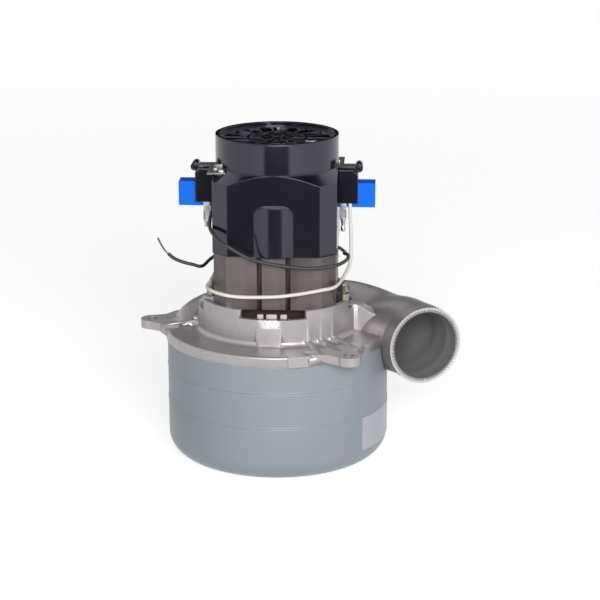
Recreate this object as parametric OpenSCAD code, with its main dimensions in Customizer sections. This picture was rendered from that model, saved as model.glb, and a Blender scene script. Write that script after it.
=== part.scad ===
// Three-stage vacuum motor unit with a tangential discharge horn.
// The origin is the centre of the inlet eye on the underside of the fan case.
// +Z runs up the shaft, and +X passes through the right-hand brush.

/* [Fan case] */
// Outside diameter of the fan case
case_d = 183; // [181:0.5:186]
// Wall thickness of the drawn shells
case_t = 1.2; // [0.8:0.1:1.4]
// Outside radius of the case's bottom corner
corner_r = 18; // [14:0.5:20]
// Height of the first shell, up to its seam
first_shell_h = 46.1; // [45:0.1:50]
// Height of the middle shell
middle_shell_h = 29.2; // [28.5:0.1:32]
// Height of the top shell
top_shell_h = 22.9; // [22:0.1:26]
// How far each shell nests into the one below
nest_h = 4; // [3:0.5:5]
// Radial play between nested shells
nest_gap = 0.2; // [0.1:0.05:0.4]
// How far the rolled bead stands out above each seam
bead_h = 0.35; // [0.2:0.05:0.6]
// Height of the rolled bead
bead_w = 1.4; // [1:0.1:2]
// Radius of the inlet eye and of the eyes between the stages
eye_r = 26; // [24:0.5:27]
// Height of the turned-up lip round each eye
lip_h = 5.5; // [4.5:0.25:6]

/* [Label] */
// Angle where the blank label starts, from +X
label_start = -38; // [-45:1:-30]
// Angle that the label covers
label_sweep = 45; // [30:1:50]
// Height of the label's lower edge
label_z = 17; // [16.5:0.5:18]
// Height of the label
label_h = 28; // [20:1:28]
// Thickness of the label
label_t = 0.25; // [0.15:0.05:0.4]

/* [Fan stages] */
// Outside diameter of the impellers
impeller_d = 162; // [150:1:166]
// Thickness of the impeller sheet
impeller_t = 0.9; // [0.7:0.1:1.2]
// Height of the first impeller
impeller_1_h = 24; // [20:0.5:24.5]
// Height of the second impeller
impeller_2_h = 14.5; // [12:0.5:15]
// Height of the third impeller
impeller_3_h = 17; // [14:0.5:18]
// Gap under each impeller, above the floor of its shell
fan_clear = 3; // [2.5:0.25:3.5]
// Radial gap between an eye lip and its impeller
eye_gap = 1.3; // [1:0.1:2]
// Rise of the front shroud from its eye to its rim, as a part of the impeller's height
shroud_rise = 0.3; // [0.2:0.05:0.4]
// Number of blades in an impeller
blade_count = 8; // [6:1:9]
// Gap between an impeller and the stationary fan above it
back_clear = 2.5; // [2.2:0.1:3]
// Thickness of the stationary fan's plate and vanes
stator_t = 1; // [0.8:0.1:1.5]
// Outside diameter of the stationary fans
stator_d = 168; // [160:1:172]
// Number of return vanes in a stationary fan
vane_count = 10; // [8:1:12]

/* [Bracket] */
// How far the bracket's flange stands out past the fan case
flange_over = 1; // [0.5:0.25:2.5]
// Height of the flange at its rim
flange_h = 8.7; // [7.5:0.1:10]
// Rounding of the flange's upper edge
flange_round = 2; // [1:0.25:2.5]
// Fillet between the flange and the drum
foot_fillet = 4; // [2.5:0.25:5]
// Outside radius of the drum
drum_r = 65.5; // [64.5:0.25:67]
// Wall thickness of the drum
drum_t = 4.5; // [4:0.25:5]
// Radius of the round column at the drum's right side
column_r = 8.5; // [7:0.25:9.5]
// Distance of that column from the motor's axis
column_out = 64.5; // [62:0.25:66]
// Angle of that column, from +X
column_angle = -7; // [-9:0.5:-5]
// Thickness of the bracket's floor
floor_t = 4; // [3:0.25:5]
// Height of the drum's top edge at its sides, over the case's top edge
drum_side_h = 27.8; // [26:0.2:29]
// Height of the two collars that hold the field core
collar_h = 37.3; // [36:0.1:39]
// Angle to each side of front and back that the collars cover
collar_half_angle = 64; // [58:1:66]
// Angle to each side of front and back that the air notches cover
notch_half_angle = 24.5; // [20:0.5:32]
// Depth of the air notches
notch_depth = 6.7; // [4:0.1:9]
// Width of the raised pad on the drum's front
pad_w = 20; // [14:1:24]
// How far the raised pad stands out
pad_t = 1.2; // [0.8:0.1:2]

/* [Ears] */
// Distance of the three ear holes from the fan case's side
ear_out = 14.5; // [12.5:0.5:18.5]
// Angle of the left ear
ear_left = 176; // [170:0.5:182]
// Angle of the front ear
ear_front = -54.5; // [-60:0.5:-50]
// Angle of the back ear
ear_back = 61; // [55:0.5:66]
// Radius of an ear's round tip
ear_tip_r = 9.5; // [8:0.25:11]
// Thickness of an ear
ear_t = 7; // [6:0.25:8]
// Height of the three ribs behind each ear
rib_h = 4; // [2:0.25:7]
// Thickness of the ribs
rib_t = 3.4; // [2.5:0.1:4.5]
// Angle between neighbouring ribs
rib_spread = 10; // [7:0.5:12]
// Radius of an ear's bolt hole
ear_hole_r = 4.3; // [3.5:0.1:5]

/* [Horn] */
// Outside diameter of the horn's mouth
horn_d = 63.5; // [60:0.5:66]
// Wall thickness of the horn
horn_t = 3; // [2.5:0.25:3.5]
// Height of the horn's axis
horn_z = 100.3; // [99:0.1:103]
// Distance of the horn's axis from the fan case's side
horn_out = 3.5; // [2.5:0.5:6.5]
// Length of the horn from its tangent point to its mouth
horn_len = 84; // [82:0.5:95]
// Angle of the tangent point, from +X
horn_angle = 26.3; // [20:0.1:30]
// Distance from the tangent point to where the horn is straight and round
horn_straight = 64; // [62:0.5:66]
// How far the horn swells towards the drum where it leaves the scroll
horn_swell = 5; // [3:0.5:6]
// Length of the machined cuff at the mouth
cuff_len = 15.5; // [12:0.5:15.5]
// Step in radius where the cuff starts
cuff_step = 0.5; // [0.35:0.05:0.8]
// Gap between the horn and the fan case
horn_case_gap = 0.6; // [0.4:0.1:1]

/* [Motor] */
// Width of the square lamination stack
core_w = 98; // [96:0.5:99]
// Length of the chamfer at the stack's corners
core_chamfer = 10.5; // [9:0.5:11]
// Height where the stack starts, over the case's top edge
core_z = 34.8; // [34:0.1:36]
// Height of the stack
core_h = 44; // [40:0.5:48]
// Radius of the bore through the poles
core_bore_r = 28.6; // [28:0.1:29]
// Gap between the armature and the poles
air_gap = 0.6; // [0.4:0.1:0.8]
// Half width of the opening inside the stack's yoke
yoke_in = 38.9; // [38.7:0.1:39.5]
// Number of slots in the armature
armature_slots = 12; // [10:1:14]
// Height of the winding heads at each end
head_h = 11.5; // [9:0.5:11.5]
// Diameter of the commutator
commutator_d = 32; // [30:0.5:34]
// Height of the commutator
commutator_h = 32; // [28:0.5:33]
// Number of commutator bars
bar_count = 24; // [20:1:28]

/* [Shaft and bearings] */
// Diameter of the shaft where it carries the impellers
fan_shaft_d = 12; // [11:0.5:12.5]
// Diameter of the shaft in the lower bearing and the armature
shaft_d = 17; // [16.5:0.5:17]
// Diameter of the shaft in the upper bearing
top_shaft_d = 8; // [7.5:0.5:8]
// Outside diameter of the lower bearing
low_bearing_d = 40; // [39:0.5:41]
// Width of the lower bearing
low_bearing_b = 12; // [11:0.5:12]
// Outside diameter of the upper bearing
top_bearing_d = 22; // [21.5:0.5:23]
// Width of the upper bearing
top_bearing_b = 7; // [6:0.5:7]
// Outside diameter of the spacer tubes between the impellers
spacer_d = 20; // [19.5:0.5:22]
// Outside diameter of the washers at each impeller's hub
hub_washer_d = 38; // [34:1:44]
// Thickness of the hub washers
hub_washer_t = 1.5; // [1:0.1:1.6]

/* [Upper housing] */
// Width of the housing's lower, chamfered block
block_w = 100; // [99.5:0.5:102]
// Length of the chamfer at the block's corners
block_chamfer = 13; // [12:0.5:14]
// Wall thickness of the housing
housing_t = 2.8; // [2.4:0.1:3.2]
// Height of the shoulder where it meets the round top, over the stack
shoulder_h = 65.9; // [64:0.1:68]
// Fall of the shoulder for each millimetre outwards
shoulder_slope = 0.67; // [0.5:0.01:0.8]
// Height of the rim over the stack
rim_h = 91.2; // [90:0.1:96]
// Width of the arched bump on the front
bump_w = 31; // [26:1:34]
// How far the arched bump stands out
bump_t = 5; // [3:0.5:6]
// Height of the arched bump
bump_h = 40.8; // [36:0.2:44]
// Depth of the vent cover below the rim
cover_drop = 3.5; // [2.5:0.5:4.5]
// Thickness of the vent cover
cover_t = 3; // [2.5:0.25:3.5]
// Number of ribs in the vent cover
cover_ribs = 18; // [12:1:24]
// Number of blades in the cooling fan
cooling_blades = 11; // [8:1:14]

/* [Brushes] */
// Height of the brush axis over the stack
brush_h = 41.9; // [41:0.1:42.5]
// Length of a carbon brush
brush_len = 30; // [26:0.5:31]
// Height of a carbon brush
brush_tall = 11; // [9:0.5:11]
// Width of a carbon brush
brush_wide = 6.5; // [6:0.25:7]
// Height of the brush holder
holder_tall = 20; // [19:0.5:21]
// Width of the brush holder
holder_wide = 16; // [14:0.5:17]
// Distance from the motor's axis to the holder's outer end
holder_reach = 80; // [78:0.5:84]
// Distance from the motor's axis to the clamp's outer face
clamp_reach = 66; // [62:0.5:67]
// Height of the clamp below the brush axis
clamp_below = 6.1; // [5:0.1:8]
// Height of the clamp above the brush axis
clamp_above = 21.5; // [21:0.1:22.2]
// Outside radius of the curl at the end of the clip
curl_r = 3.4; // [3:0.1:4.2]
// Thickness of the clip
clip_t = 1.3; // [1:0.1:1.6]

/* [Studs and leads] */
// Distance of the bracket studs from the motor's axis, along X
stud_x = 54.5; // [54:0.25:56]
// Distance of the bracket studs in front of or behind the brush axis
stud_y = 7; // [5:0.5:9]
// Radius of the bosses that the studs stand in
stud_boss_r = 8.8; // [8:0.1:9.2]
// Diameter of the bracket studs
stud_d = 5; // [4:0.5:5]
// Height of the stud bosses over the case's top edge
boss_h = 30.3; // [29:0.1:31]
// Distance across the flats of a stud nut
nut_af = 10; // [9:0.5:10]
// Height of a stud nut
nut_h = 6.5; // [4:0.5:7]
// Diameter of the insulated leads
lead_d = 2.9; // [2.4:0.1:3.2]
// Diameter of the bare strands at a lead's end
strand_d = 1.6; // [1.2:0.1:2]
// Length of the bare strands at a lead's end
strand_len = 11; // [8:0.5:14]

/* [Hidden] */

$fn = 96;

// Gap between flat or round faces that seat on each other
seat = 0.05;
// Length by which a cutter runs past the face that it cuts
past = 1;

case_r = case_d / 2;
seam_1 = first_shell_h;
seam_2 = first_shell_h + middle_shell_h;
case_top = seam_2 + top_shell_h;
nest_r = case_r - case_t - nest_gap;
floor_1 = seam_1 - nest_h;
floor_2 = seam_2 - nest_h;
bracket_z = case_top + seat;

impeller_r = impeller_d / 2;
impeller_eye_r = eye_r + case_t + eye_gap;
impeller_h = [impeller_1_h, impeller_2_h, impeller_3_h];
impeller_z = [case_t + fan_clear, floor_1 + case_t + fan_clear, floor_2 + case_t + fan_clear];
function disc_z(i) = impeller_z[i] + impeller_h[i] - impeller_t;
stator_z = [disc_z(0) + impeller_t + back_clear, disc_z(1) + impeller_t + back_clear];
stator_top = [floor_1 - seat, floor_2 - seat];
spacer_r = spacer_d / 2;
fan_shaft_r = fan_shaft_d / 2;

flange_r = case_r + flange_over;
ear_circle_r = case_r + ear_out;
horn_offset = case_r + horn_out;
flange_top = bracket_z + flange_h;
drum_in = drum_r - drum_t;
floor_top = bracket_z + floor_t;
// Web under the lower bearing
bearing_web = 6.5;
low_bearing_z = bracket_z + bearing_web;
low_bearing_top = low_bearing_z + low_bearing_b;
clip_ring_t = 1.2;
hub_wall = 5;
hub_lip = 1.2;
hub_top = low_bearing_top + seat + clip_ring_t + seat + hub_lip;
collar_top = case_top + collar_h;
drum_side_top = case_top + drum_side_h;
boss_top = case_top + boss_h;
stud_foot = bracket_z + 10;
stud_above = 16;
plenum_in = drum_r + 2.5;
plenum_out = case_r - 5.5;
plenum_top = flange_top - 3.5;
spigot_h = 4;

core_bottom = case_top + core_z;
core_top = core_bottom + core_h;
core_half = core_w / 2;
field_screw_xy = 39;
field_head_r = 3.2;
field_head_h = 3;
field_screw_r = 2;
field_screw_below = 18;
field_post_h = 13;
post_r = 5;
armature_r = core_bore_r - air_gap;
pole_half = 18;
coil_play = 0.6;
bobbin_t = 1;
coil_in = pole_half + coil_play + bobbin_t;
coil_out = 34;
coil_back = yoke_in - 0.4;
coil_front = 29.5;
shoe_r = core_bore_r + 4.8;
shoe_angle = 57;

block_half = block_w / 2;
block_sum = block_w - block_chamfer;
housing_z = core_top + seat;
top_r = block_half;
shoulder_top = core_top + shoulder_h;
rim_z = core_top + rim_h;
plate_z = shoulder_top - 4.7;
plate_t = 3;
top_bearing_z = plate_z - 2;
top_bearing_top = top_bearing_z + top_bearing_b;
top_bearing_r = top_bearing_d / 2;
cover_z = rim_z - cover_drop - cover_t;
cover_r = top_r - housing_t;
fan_z = top_bearing_top + 4;
fan_r = cover_r - 5;
fan_top = cover_z - 2.5;
cavity_top = shoulder_top - 13;
commutator_r = commutator_d / 2;
commutator_z = core_top + 20.2;
shaft_r = shaft_d / 2;
top_shaft_r = top_shaft_d / 2;

brush_z = core_top + brush_h;
brush_gap = 0.3;
sleeve_play = 0.2;
sleeve_t = 0.7;
sleeve_start = commutator_r + 3;
holder_start = 42;
holder_end_t = 2;
holder_play = 0.15;
clamp_start = block_half + 0.1;
clamp_half = 12;
clamp_bottom = brush_z - clamp_below;
clamp_top = brush_z + clamp_above;
clip_z = clamp_top + seat;
curl_x = clamp_reach + 0.5;
curl_z = clip_z + clip_t / 2;
spring_r = 2.9;
spring_t = 0.7;
function terminal_x(side) = side < 0 ? 57 : 54.2;
function terminal_bottom(side) = core_top + (side < 0 ? 19 : 22);
function crimp_len(side) = side < 0 ? 4 : 9.5;
terminal_y = -10.1;
terminal_w = 5.2;
terminal_t = 0.8;
terminal_top = clamp_bottom + 5;
crimp_r = 1.9;
tab_half = 3.5;
clip_screw_x = 42.5;
clip_screw_away = 31;
clip_screw_r = 1.4;
clip_screw_len = 8;
clip_head_r = 2.9;
clip_head_h = 2;
function clip_screw_y(side) = side * clip_screw_away;

steel_grey = [0.57, 0.6, 0.63];
cast_alloy = [0.66, 0.65, 0.65];
lamination = [0.4, 0.37, 0.36];
gloss_black = [0.1, 0.1, 0.12];
bright_steel = [0.78, 0.78, 0.79];
copper = [0.72, 0.42, 0.25];
brush_blue = [0.04, 0.47, 0.98];
ivory = [0.93, 0.91, 0.86];

// Shapes that several pieces share

module ring(r_out, r_in, z, h) {
  translate([0, 0, z])
    difference() {
      cylinder(r = r_out, h = h);
      translate([0, 0, -past]) cylinder(r = r_in, h = h + 2 * past);
    }
}

module disc(r, z, h) {
  translate([0, 0, z]) cylinder(r = r, h = h);
}

// A square of half width half, with its corners cut where x + y passes sum
function chamfered(half, sum) = [
  [half, sum - half], [sum - half, half], [half - sum, half], [-half, sum - half],
  [-half, half - sum], [half - sum, -half], [sum - half, -half], [half, half - sum]
];

module prism(half, sum, z, h) {
  translate([0, 0, z]) linear_extrude(h) polygon(chamfered(half, sum));
}

// A box from its low corner to its high corner
module span(low, high) {
  translate(low) cube(high - low);
}

// A sector of the plane between two angles, out to radius r
module sector(a, b, r) {
  steps = 6;
  polygon(concat([[0, 0]], [for (i = [0:steps]) let (t = a + (b - a) * i / steps) r * [cos(t), sin(t)]]));
}

module mirrored(side) {
  if (side > 0) children();
  else mirror([1, 0, 0]) children();
}

// A sheet blade along a curve that leans back from r_in to r_out
function lean(r, r_in, r_out, sweep) = sweep * sqrt((r - r_in) / (r_out - r_in));
module blade(r_in, r_out, sweep, t) {
  steps = 8;
  rs = [for (i = [0:steps]) r_in + (r_out - r_in) * i / steps];
  mid = [for (r = rs) r * [cos(lean(r, r_in, r_out, sweep)), sin(lean(r, r_in, r_out, sweep))]];
  dir = [for (i = [0:steps]) let (d = mid[min(i + 1, steps)] - mid[max(i - 1, 0)]) d / norm(d)];
  left = [for (i = [0:steps]) mid[i] + t / 2 * [-dir[i].y, dir[i].x]];
  right = [for (i = [0:steps]) mid[steps - i] - t / 2 * [-dir[steps - i].y, dir[steps - i].x]];
  polygon(concat(left, right));
}

// Fan case: three painted shells that nest into each other

module cup_profile(r, h, corner) {
  translate([0, corner]) square([r, h - corner]);
  square([r - corner, h]);
  translate([r - corner, corner]) circle(corner);
}

module eye_lip(z) {
  ring(eye_r + case_t, eye_r, z, lip_h);
}

module inlet_shell() {
  color(steel_grey) {
    difference() {
      rotate_extrude()
        difference() {
          intersection() {
            cup_profile(case_r, seam_1 - seat, corner_r);
            square([case_r, seam_1 - seat]);
          }
          translate([0, case_t]) cup_profile(case_r - case_t, seam_1 + past, corner_r - case_t);
        }
      disc(eye_r, -past, case_t + 2 * past);
    }
    eye_lip(0);
  }
}

// An upper shell with its floor nested below the seam
module nested_shell(floor_z, seam_z, top_z) {
  color(steel_grey) {
    ring(case_r, case_r - case_t, seam_z, top_z - seam_z);
    ring(case_r, nest_r - case_t, seam_z, case_t);
    ring(nest_r, nest_r - case_t, floor_z, seam_z - floor_z + case_t);
    ring(nest_r, eye_r, floor_z, case_t);
    ring(case_r + bead_h, case_r - case_t, seam_z, bead_w);
    eye_lip(floor_z);
  }
}

module middle_shell() {
  nested_shell(floor_1, seam_1, seam_2 - seat);
}

module top_shell() {
  nested_shell(floor_2, seam_2, case_top);
}

module case_label() {
  color(ivory)
    intersection() {
      ring(case_r + seat + label_t, case_r + seat, label_z, label_h);
      translate([0, 0, label_z - past])
        linear_extrude(label_h + 2 * past) sector(label_start, label_start + label_sweep, case_r * 1.2);
    }
}

// Fans: a conical front shroud, curved blades and a flat disc at the top

module impeller(i) {
  z = impeller_z[i];
  h = impeller_h[i];
  rise = h * shroud_rise;
  color(bright_steel) {
    rotate_extrude()
      polygon([
        [impeller_eye_r, z], [impeller_r, z + rise],
        [impeller_r, z + rise + impeller_t], [impeller_eye_r, z + impeller_t]
      ]);
    ring(impeller_r, fan_shaft_r + seat, disc_z(i), impeller_t);
    intersection() {
      translate([0, 0, z])
        linear_extrude(h - impeller_t / 2)
          for (k = [0:blade_count - 1])
            rotate(k * 360 / blade_count) blade(impeller_eye_r + 3, impeller_r - 1, -48, impeller_t);
      rotate_extrude()
        polygon([
          [impeller_eye_r, z + impeller_t / 2], [impeller_r, z + rise + impeller_t / 2],
          [impeller_r, z + h], [impeller_eye_r, z + h]
        ]);
    }
  }
}

module lower_impeller() {
  impeller(0);
}

module middle_impeller() {
  impeller(1);
}

module upper_impeller() {
  impeller(2);
}

module stationary_fan(i) {
  z = stator_z[i];
  color(bright_steel) {
    ring(stator_d / 2, spacer_r + 1, z, stator_t);
    translate([0, 0, z + stator_t / 2])
      linear_extrude(stator_top[i] - z - stator_t / 2)
        for (k = [0:vane_count - 1])
          rotate(k * 360 / vane_count) blade(eye_r + 6, stator_d / 2 - 1, 60, stator_t);
  }
}

module lower_stationary_fan() {
  stationary_fan(0);
}

module upper_stationary_fan() {
  stationary_fan(1);
}

// Bracket: one casting with the flange, drum, bearing seat, ears, scroll and horn

// Stations along the scroll as [angle, distance out, angle of the section, half width, half height]
horn_r = horn_d / 2;
scroll_stations = [
  [192, drum_r + 9, 192, 7, flange_h - 3],
  [172, drum_r + 12, 172, 12, flange_h + 4],
  [152, drum_r + 13.5, 152, 13.5, flange_h + 8.5],
  [100, drum_r + 13.5, 100, 13.5, flange_h + 14],
  [60, drum_r + 13.5, 62, 13.5, horn_r - 5],
  [40, drum_r + 14.5, 46, 17, horn_r - 2],
  [25, drum_r + 18.5, 36, 24, horn_r - 2],
  [12, horn_offset - horn_swell, 29, horn_r + 1, horn_r - 3.5],
  horn_station(40, horn_swell, 1.3),
  horn_station(51, 0.75 * horn_swell, 0.7),
  horn_station(60, 0.35 * horn_swell, cuff_step)
];
// A station on the horn, swollen towards the drum and sunk at its top
function horn_station(along, swell, sink) =
  let (out = horn_offset - swell)
  [horn_angle - atan2(along, out), norm([along, out]), horn_angle, horn_r - cuff_step + swell, horn_r - sink];
section_sides = 20;
function oval(w, h) = [for (k = [0:section_sides - 1]) [w * cos(k * 360 / section_sides), h * sin(k * 360 / section_sides)]];
function scroll_ring(c, wall) =
  [for (p = oval(c[3] - wall, c[4] - wall))
    [c[1] * cos(c[0]) + p.x * cos(c[2]), c[1] * sin(c[0]) + p.x * sin(c[2]), horn_z + p.y]];
function horn_point(out, along, z) = [
  out * cos(horn_angle) + along * sin(horn_angle),
  out * sin(horn_angle) - along * cos(horn_angle), z
];
function horn_ring(along, wall) =
  [for (p = oval(horn_r - wall, horn_r - wall)) horn_point(horn_offset + p.x, along, horn_z + p.y)];

function curve_point(a, b, c, d, t) =
  0.5 * (2 * b + (c - a) * t + (2 * a - 5 * b + 4 * c - d) * t * t + (3 * b - a - 3 * c + d) * t * t * t);
function smooth_route(p, steps) =
  let (n = len(p) - 1, q = concat([2 * p[0] - p[1]], p, [2 * p[n] - p[n - 1]]))
  concat(
    [for (i = [0:n - 1]) for (k = [0:steps - 1])
      curve_point(q[i], q[i + 1], q[i + 2], q[i + 3], k / steps)],
    [p[n]]
  );

// A solid skinned over rings that have the same number of points
module loft(rings) {
  n = len(rings[0]);
  last = len(rings) - 1;
  polyhedron(
    points = [for (r = rings) for (p = r) p],
    faces = concat(
      [[for (k = [0:n - 1]) k]],
      [for (i = [0:last - 1]) for (k = [0:n - 1])
        [i * n + k, (i + 1) * n + k, (i + 1) * n + (k + 1) % n, i * n + (k + 1) % n]],
      [[for (k = [0:n - 1]) last * n + n - 1 - k]]
    ),
    convexity = 8
  );
}

// How far the scroll's last ring stays inside the round horn
horn_inset = 0.2;

// The scroll and horn, grown inwards by wall, and by end_wall at the ring inside the round horn
module scroll_body(wall, end_wall) {
  loft(concat(
    [for (c = smooth_route(scroll_stations, 2)) scroll_ring(c, wall)],
    [horn_ring(horn_straight + 2, end_wall)]
  ));
}

module along_horn(from, to, r) {
  rotate([0, 0, horn_angle])
    translate([horn_offset, -from, horn_z])
      rotate([90, 0, 0]) cylinder(r = r, h = to - from);
}

module ear_plate(angle) {
  rotate([0, 0, angle])
    translate([0, 0, flange_top - ear_t + 0.9])
      linear_extrude(ear_t) {
        translate([ear_circle_r, 0]) circle(ear_tip_r);
        polygon([
          [ear_circle_r, ear_tip_r], [ear_circle_r - 9, ear_tip_r + 4.5], [case_r - 2, 26],
          [case_r - 12, 26], [case_r - 12, -26], [case_r - 2, -26],
          [ear_circle_r - 9, -ear_tip_r - 4.5], [ear_circle_r, -ear_tip_r]
        ]);
      }
}

// Three low ribs from the drum's foot out to an ear
module ear_ribs(angle) {
  for (a = [-rib_spread, 0, rib_spread])
    rotate([0, 0, angle + a])
      translate([0, rib_t / 2, 0])
        rotate([90, 0, 0])
          linear_extrude(rib_t)
            polygon([
              [drum_r - 2, flange_top - 2], [case_r + 2, flange_top - 2], [case_r + 2, flange_top + 1.2],
              [drum_r + foot_fillet + 3, flange_top + rib_h], [drum_r - 2, flange_top + rib_h + 1]
            ]);
}

module stud_places() {
  translate([stud_x, -stud_y, 0]) rotate([0, 0, 180]) children();
  translate([-stud_x, stud_y, 0]) children();
}

module screw_places() {
  for (x = [-1, 1])
    for (y = [-1, 1])
      translate([x * field_screw_xy, y * field_screw_xy, 0]) children();
}

// Posts for the field screws, each tied to the drum by a rib
module screw_posts() {
  top = core_bottom - seat;
  screw_places() disc(post_r, bracket_z, top - bracket_z);
  for (a = [45, 135, 225, 315])
    rotate([0, 0, a])
      span([field_screw_xy * sqrt(2), -2.5, bracket_z], [drum_in + 1, 2.5, top]);
}

module drum_wall() {
  ring(drum_r, drum_in, bracket_z, drum_side_top - bracket_z);
  intersection() {
    ring(drum_r, drum_in, bracket_z, collar_top - bracket_z);
    for (front = [-90, 90])
      translate([0, 0, bracket_z])
        linear_extrude(collar_h) sector(front - collar_half_angle, front + collar_half_angle, drum_r * 2.5);
  }
}

// Half section of the flange and the fillet at the drum's foot
module flange_profile() {
  difference() {
    union() {
      translate([0, bracket_z]) square([flange_r, flange_h]);
      translate([drum_r - 1, flange_top - seat]) square([foot_fillet + 1, foot_fillet + seat]);
    }
    translate([drum_r + foot_fillet, flange_top + foot_fillet]) circle(foot_fillet);
    difference() {
      translate([flange_r - flange_round, flange_top - flange_round]) square(flange_round + past);
      translate([flange_r - flange_round, flange_top - flange_round]) circle(flange_round);
    }
  }
}

module bracket_blank() {
  rotate_extrude() flange_profile();
  ring(nest_r, plenum_out, bracket_z - spigot_h, spigot_h + seat);
  drum_wall();
  disc(low_bearing_d / 2 + hub_wall, bracket_z, hub_top - bracket_z);
  stud_places() disc(stud_boss_r, bracket_z, boss_top - bracket_z);
  screw_posts();
  for (angle = [ear_left, ear_front, ear_back]) {
    ear_plate(angle);
    ear_ribs(angle);
  }
  rotate([0, 0, column_angle]) {
    translate([column_out, 0, 0]) disc(column_r, bracket_z, boss_top - bracket_z);
    translate([column_out, column_r - 1, 0])
      rotate([90, 0, 0])
        linear_extrude(2 * column_r - 2)
          polygon([
            [0, bracket_z + 1], [horn_offset - column_out + 2, bracket_z + 1],
            [horn_offset - column_out + 2, boss_top - 3.2], [0, boss_top - 0.5]
          ]);
  }
  rotate([0, 0, -92.6])
    span([drum_in + 1, -pad_w / 2, bracket_z], [drum_r + pad_t, pad_w / 2, flange_top + 15.5]);
  rotate([0, 0, -76.5])
    span([flange_r - 6, -8, bracket_z + 0.3], [flange_r + 1.8, 8, flange_top + 0.5]);
}

// The blank with its scroll and horn, cut away over the drum's space and the fan case
module bracket_with_horn() {
  difference() {
    union() {
      bracket_blank();
      difference() {
        union() {
          scroll_body(horn_inset, horn_inset + cuff_step);
          along_horn(horn_straight, horn_len - cuff_len + seat, horn_r - cuff_step);
          along_horn(horn_len - cuff_len, horn_len, horn_r);
        }
        disc(drum_r - 0.5, 0, 2 * collar_top);
        disc(case_r + horn_case_gap, 0, bracket_z + 0.5);
      }
    }
    difference() {
      union() {
        scroll_body(horn_t + horn_inset, horn_t + horn_inset + cuff_step);
        along_horn(horn_straight, horn_len, horn_r - horn_t - cuff_step);
        along_horn(horn_len - cuff_len, horn_len + past, horn_r - horn_t);
      }
      disc(drum_r, 0, 2 * collar_top);
      disc(case_r + horn_case_gap + horn_t, 0, bracket_z + 3);
    }
  }
}

module drum_space() {
  difference() {
    disc(drum_in, floor_top, collar_top);
    disc(low_bearing_d / 2 + hub_wall, bracket_z, hub_top - bracket_z);
    stud_places() disc(stud_boss_r, bracket_z, boss_top - bracket_z);
    screw_posts();
  }
}

module motor_bracket() {
  color(cast_alloy)
    difference() {
      bracket_with_horn();
      drum_space();
      // Seat of the lamination stack
      prism(core_half + 2 * seat, core_w - core_chamfer + 2 * seat, core_bottom - seat, core_h);
      // Air notches at the front and back
      for (front = [-90, 90])
        translate([0, 0, collar_top - notch_depth])
          linear_extrude(notch_depth + past)
            sector(front - notch_half_angle, front + notch_half_angle, drum_r * 1.3);
      // Bearing seat, clip groove and shaft hole
      disc(low_bearing_d / 2 + seat, low_bearing_z - seat, hub_top);
      disc(low_bearing_d / 2 + 1, low_bearing_top + seat - 0.02, clip_ring_t + 0.04);
      disc(shaft_r + 3.5, bracket_z - past, bearing_web + 2 * past);
      // Air way from the fan case up under the flange
      ring(plenum_out, plenum_in, bracket_z - spigot_h - past, plenum_top - bracket_z + spigot_h + past);
      // Bolt holes
      for (angle = [ear_left, ear_front, ear_back])
        rotate([0, 0, angle])
          translate([ear_circle_r, 0, 0]) cylinder(r = ear_hole_r, h = 2 * flange_top);
      stud_places() disc(stud_d / 2 + seat, stud_foot, boss_h);
      screw_places() disc(field_screw_r + seat, core_bottom - field_screw_below - 2, core_h);
    }
}

// Bearings

module outer_race(r_out, width, z, pitch, ball_r, gap) {
  color(bright_steel)
    difference() {
      ring(r_out, pitch + ball_r * 0.6, z, width);
      translate([0, 0, z + width / 2]) rotate_extrude() translate([pitch, 0]) circle(ball_r + gap);
    }
}

module inner_race(r_in, width, z, pitch, ball_r, gap) {
  color(bright_steel)
    difference() {
      ring(pitch - ball_r * 0.6, r_in, z, width);
      translate([0, 0, z + width / 2]) rotate_extrude() translate([pitch, 0]) circle(ball_r + gap);
    }
}

module balls(count, pitch, ball_r, z) {
  color(bright_steel)
    for (k = [0:count - 1])
      rotate([0, 0, k * 360 / count]) translate([pitch, 0, z]) sphere(ball_r);
}

module ball_cage(count, pitch, ball_r, z, gap) {
  cage_half = ball_r * 0.25;
  cage_h = ball_r * 2.2;
  color(copper)
    difference() {
      ring(pitch + cage_half, pitch - cage_half, z - cage_h / 2, cage_h);
      for (k = [0:count - 1])
        rotate([0, 0, k * 360 / count]) translate([pitch, 0, z]) sphere(ball_r + gap);
    }
}

low_pitch = (low_bearing_d / 2 + shaft_r) / 2;
low_ball_r = 3.3;
low_balls = 8;
low_mid = low_bearing_z + low_bearing_b / 2;
top_pitch = (top_bearing_r + top_shaft_r) / 2;
top_ball_r = 1.95;
top_balls = 7;
top_mid = top_bearing_z + top_bearing_b / 2;
ball_gap = 0.15;

module lower_outer_race() {
  outer_race(low_bearing_d / 2, low_bearing_b, low_bearing_z, low_pitch, low_ball_r, ball_gap);
}

module lower_inner_race() {
  inner_race(shaft_r + seat, low_bearing_b, low_bearing_z, low_pitch, low_ball_r, ball_gap);
}

module lower_bearing_balls() {
  balls(low_balls, low_pitch, low_ball_r, low_mid);
}

module lower_bearing_cage() {
  ball_cage(low_balls, low_pitch, low_ball_r, low_mid, ball_gap);
}

module upper_outer_race() {
  outer_race(top_bearing_r, top_bearing_b, top_bearing_z, top_pitch, top_ball_r, ball_gap);
}

module upper_inner_race() {
  inner_race(top_shaft_r + seat, top_bearing_b, top_bearing_z, top_pitch, top_ball_r, ball_gap);
}

module upper_bearing_balls() {
  balls(top_balls, top_pitch, top_ball_r, top_mid);
}

module upper_bearing_cage() {
  ball_cage(top_balls, top_pitch, top_ball_r, top_mid, ball_gap);
}

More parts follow.
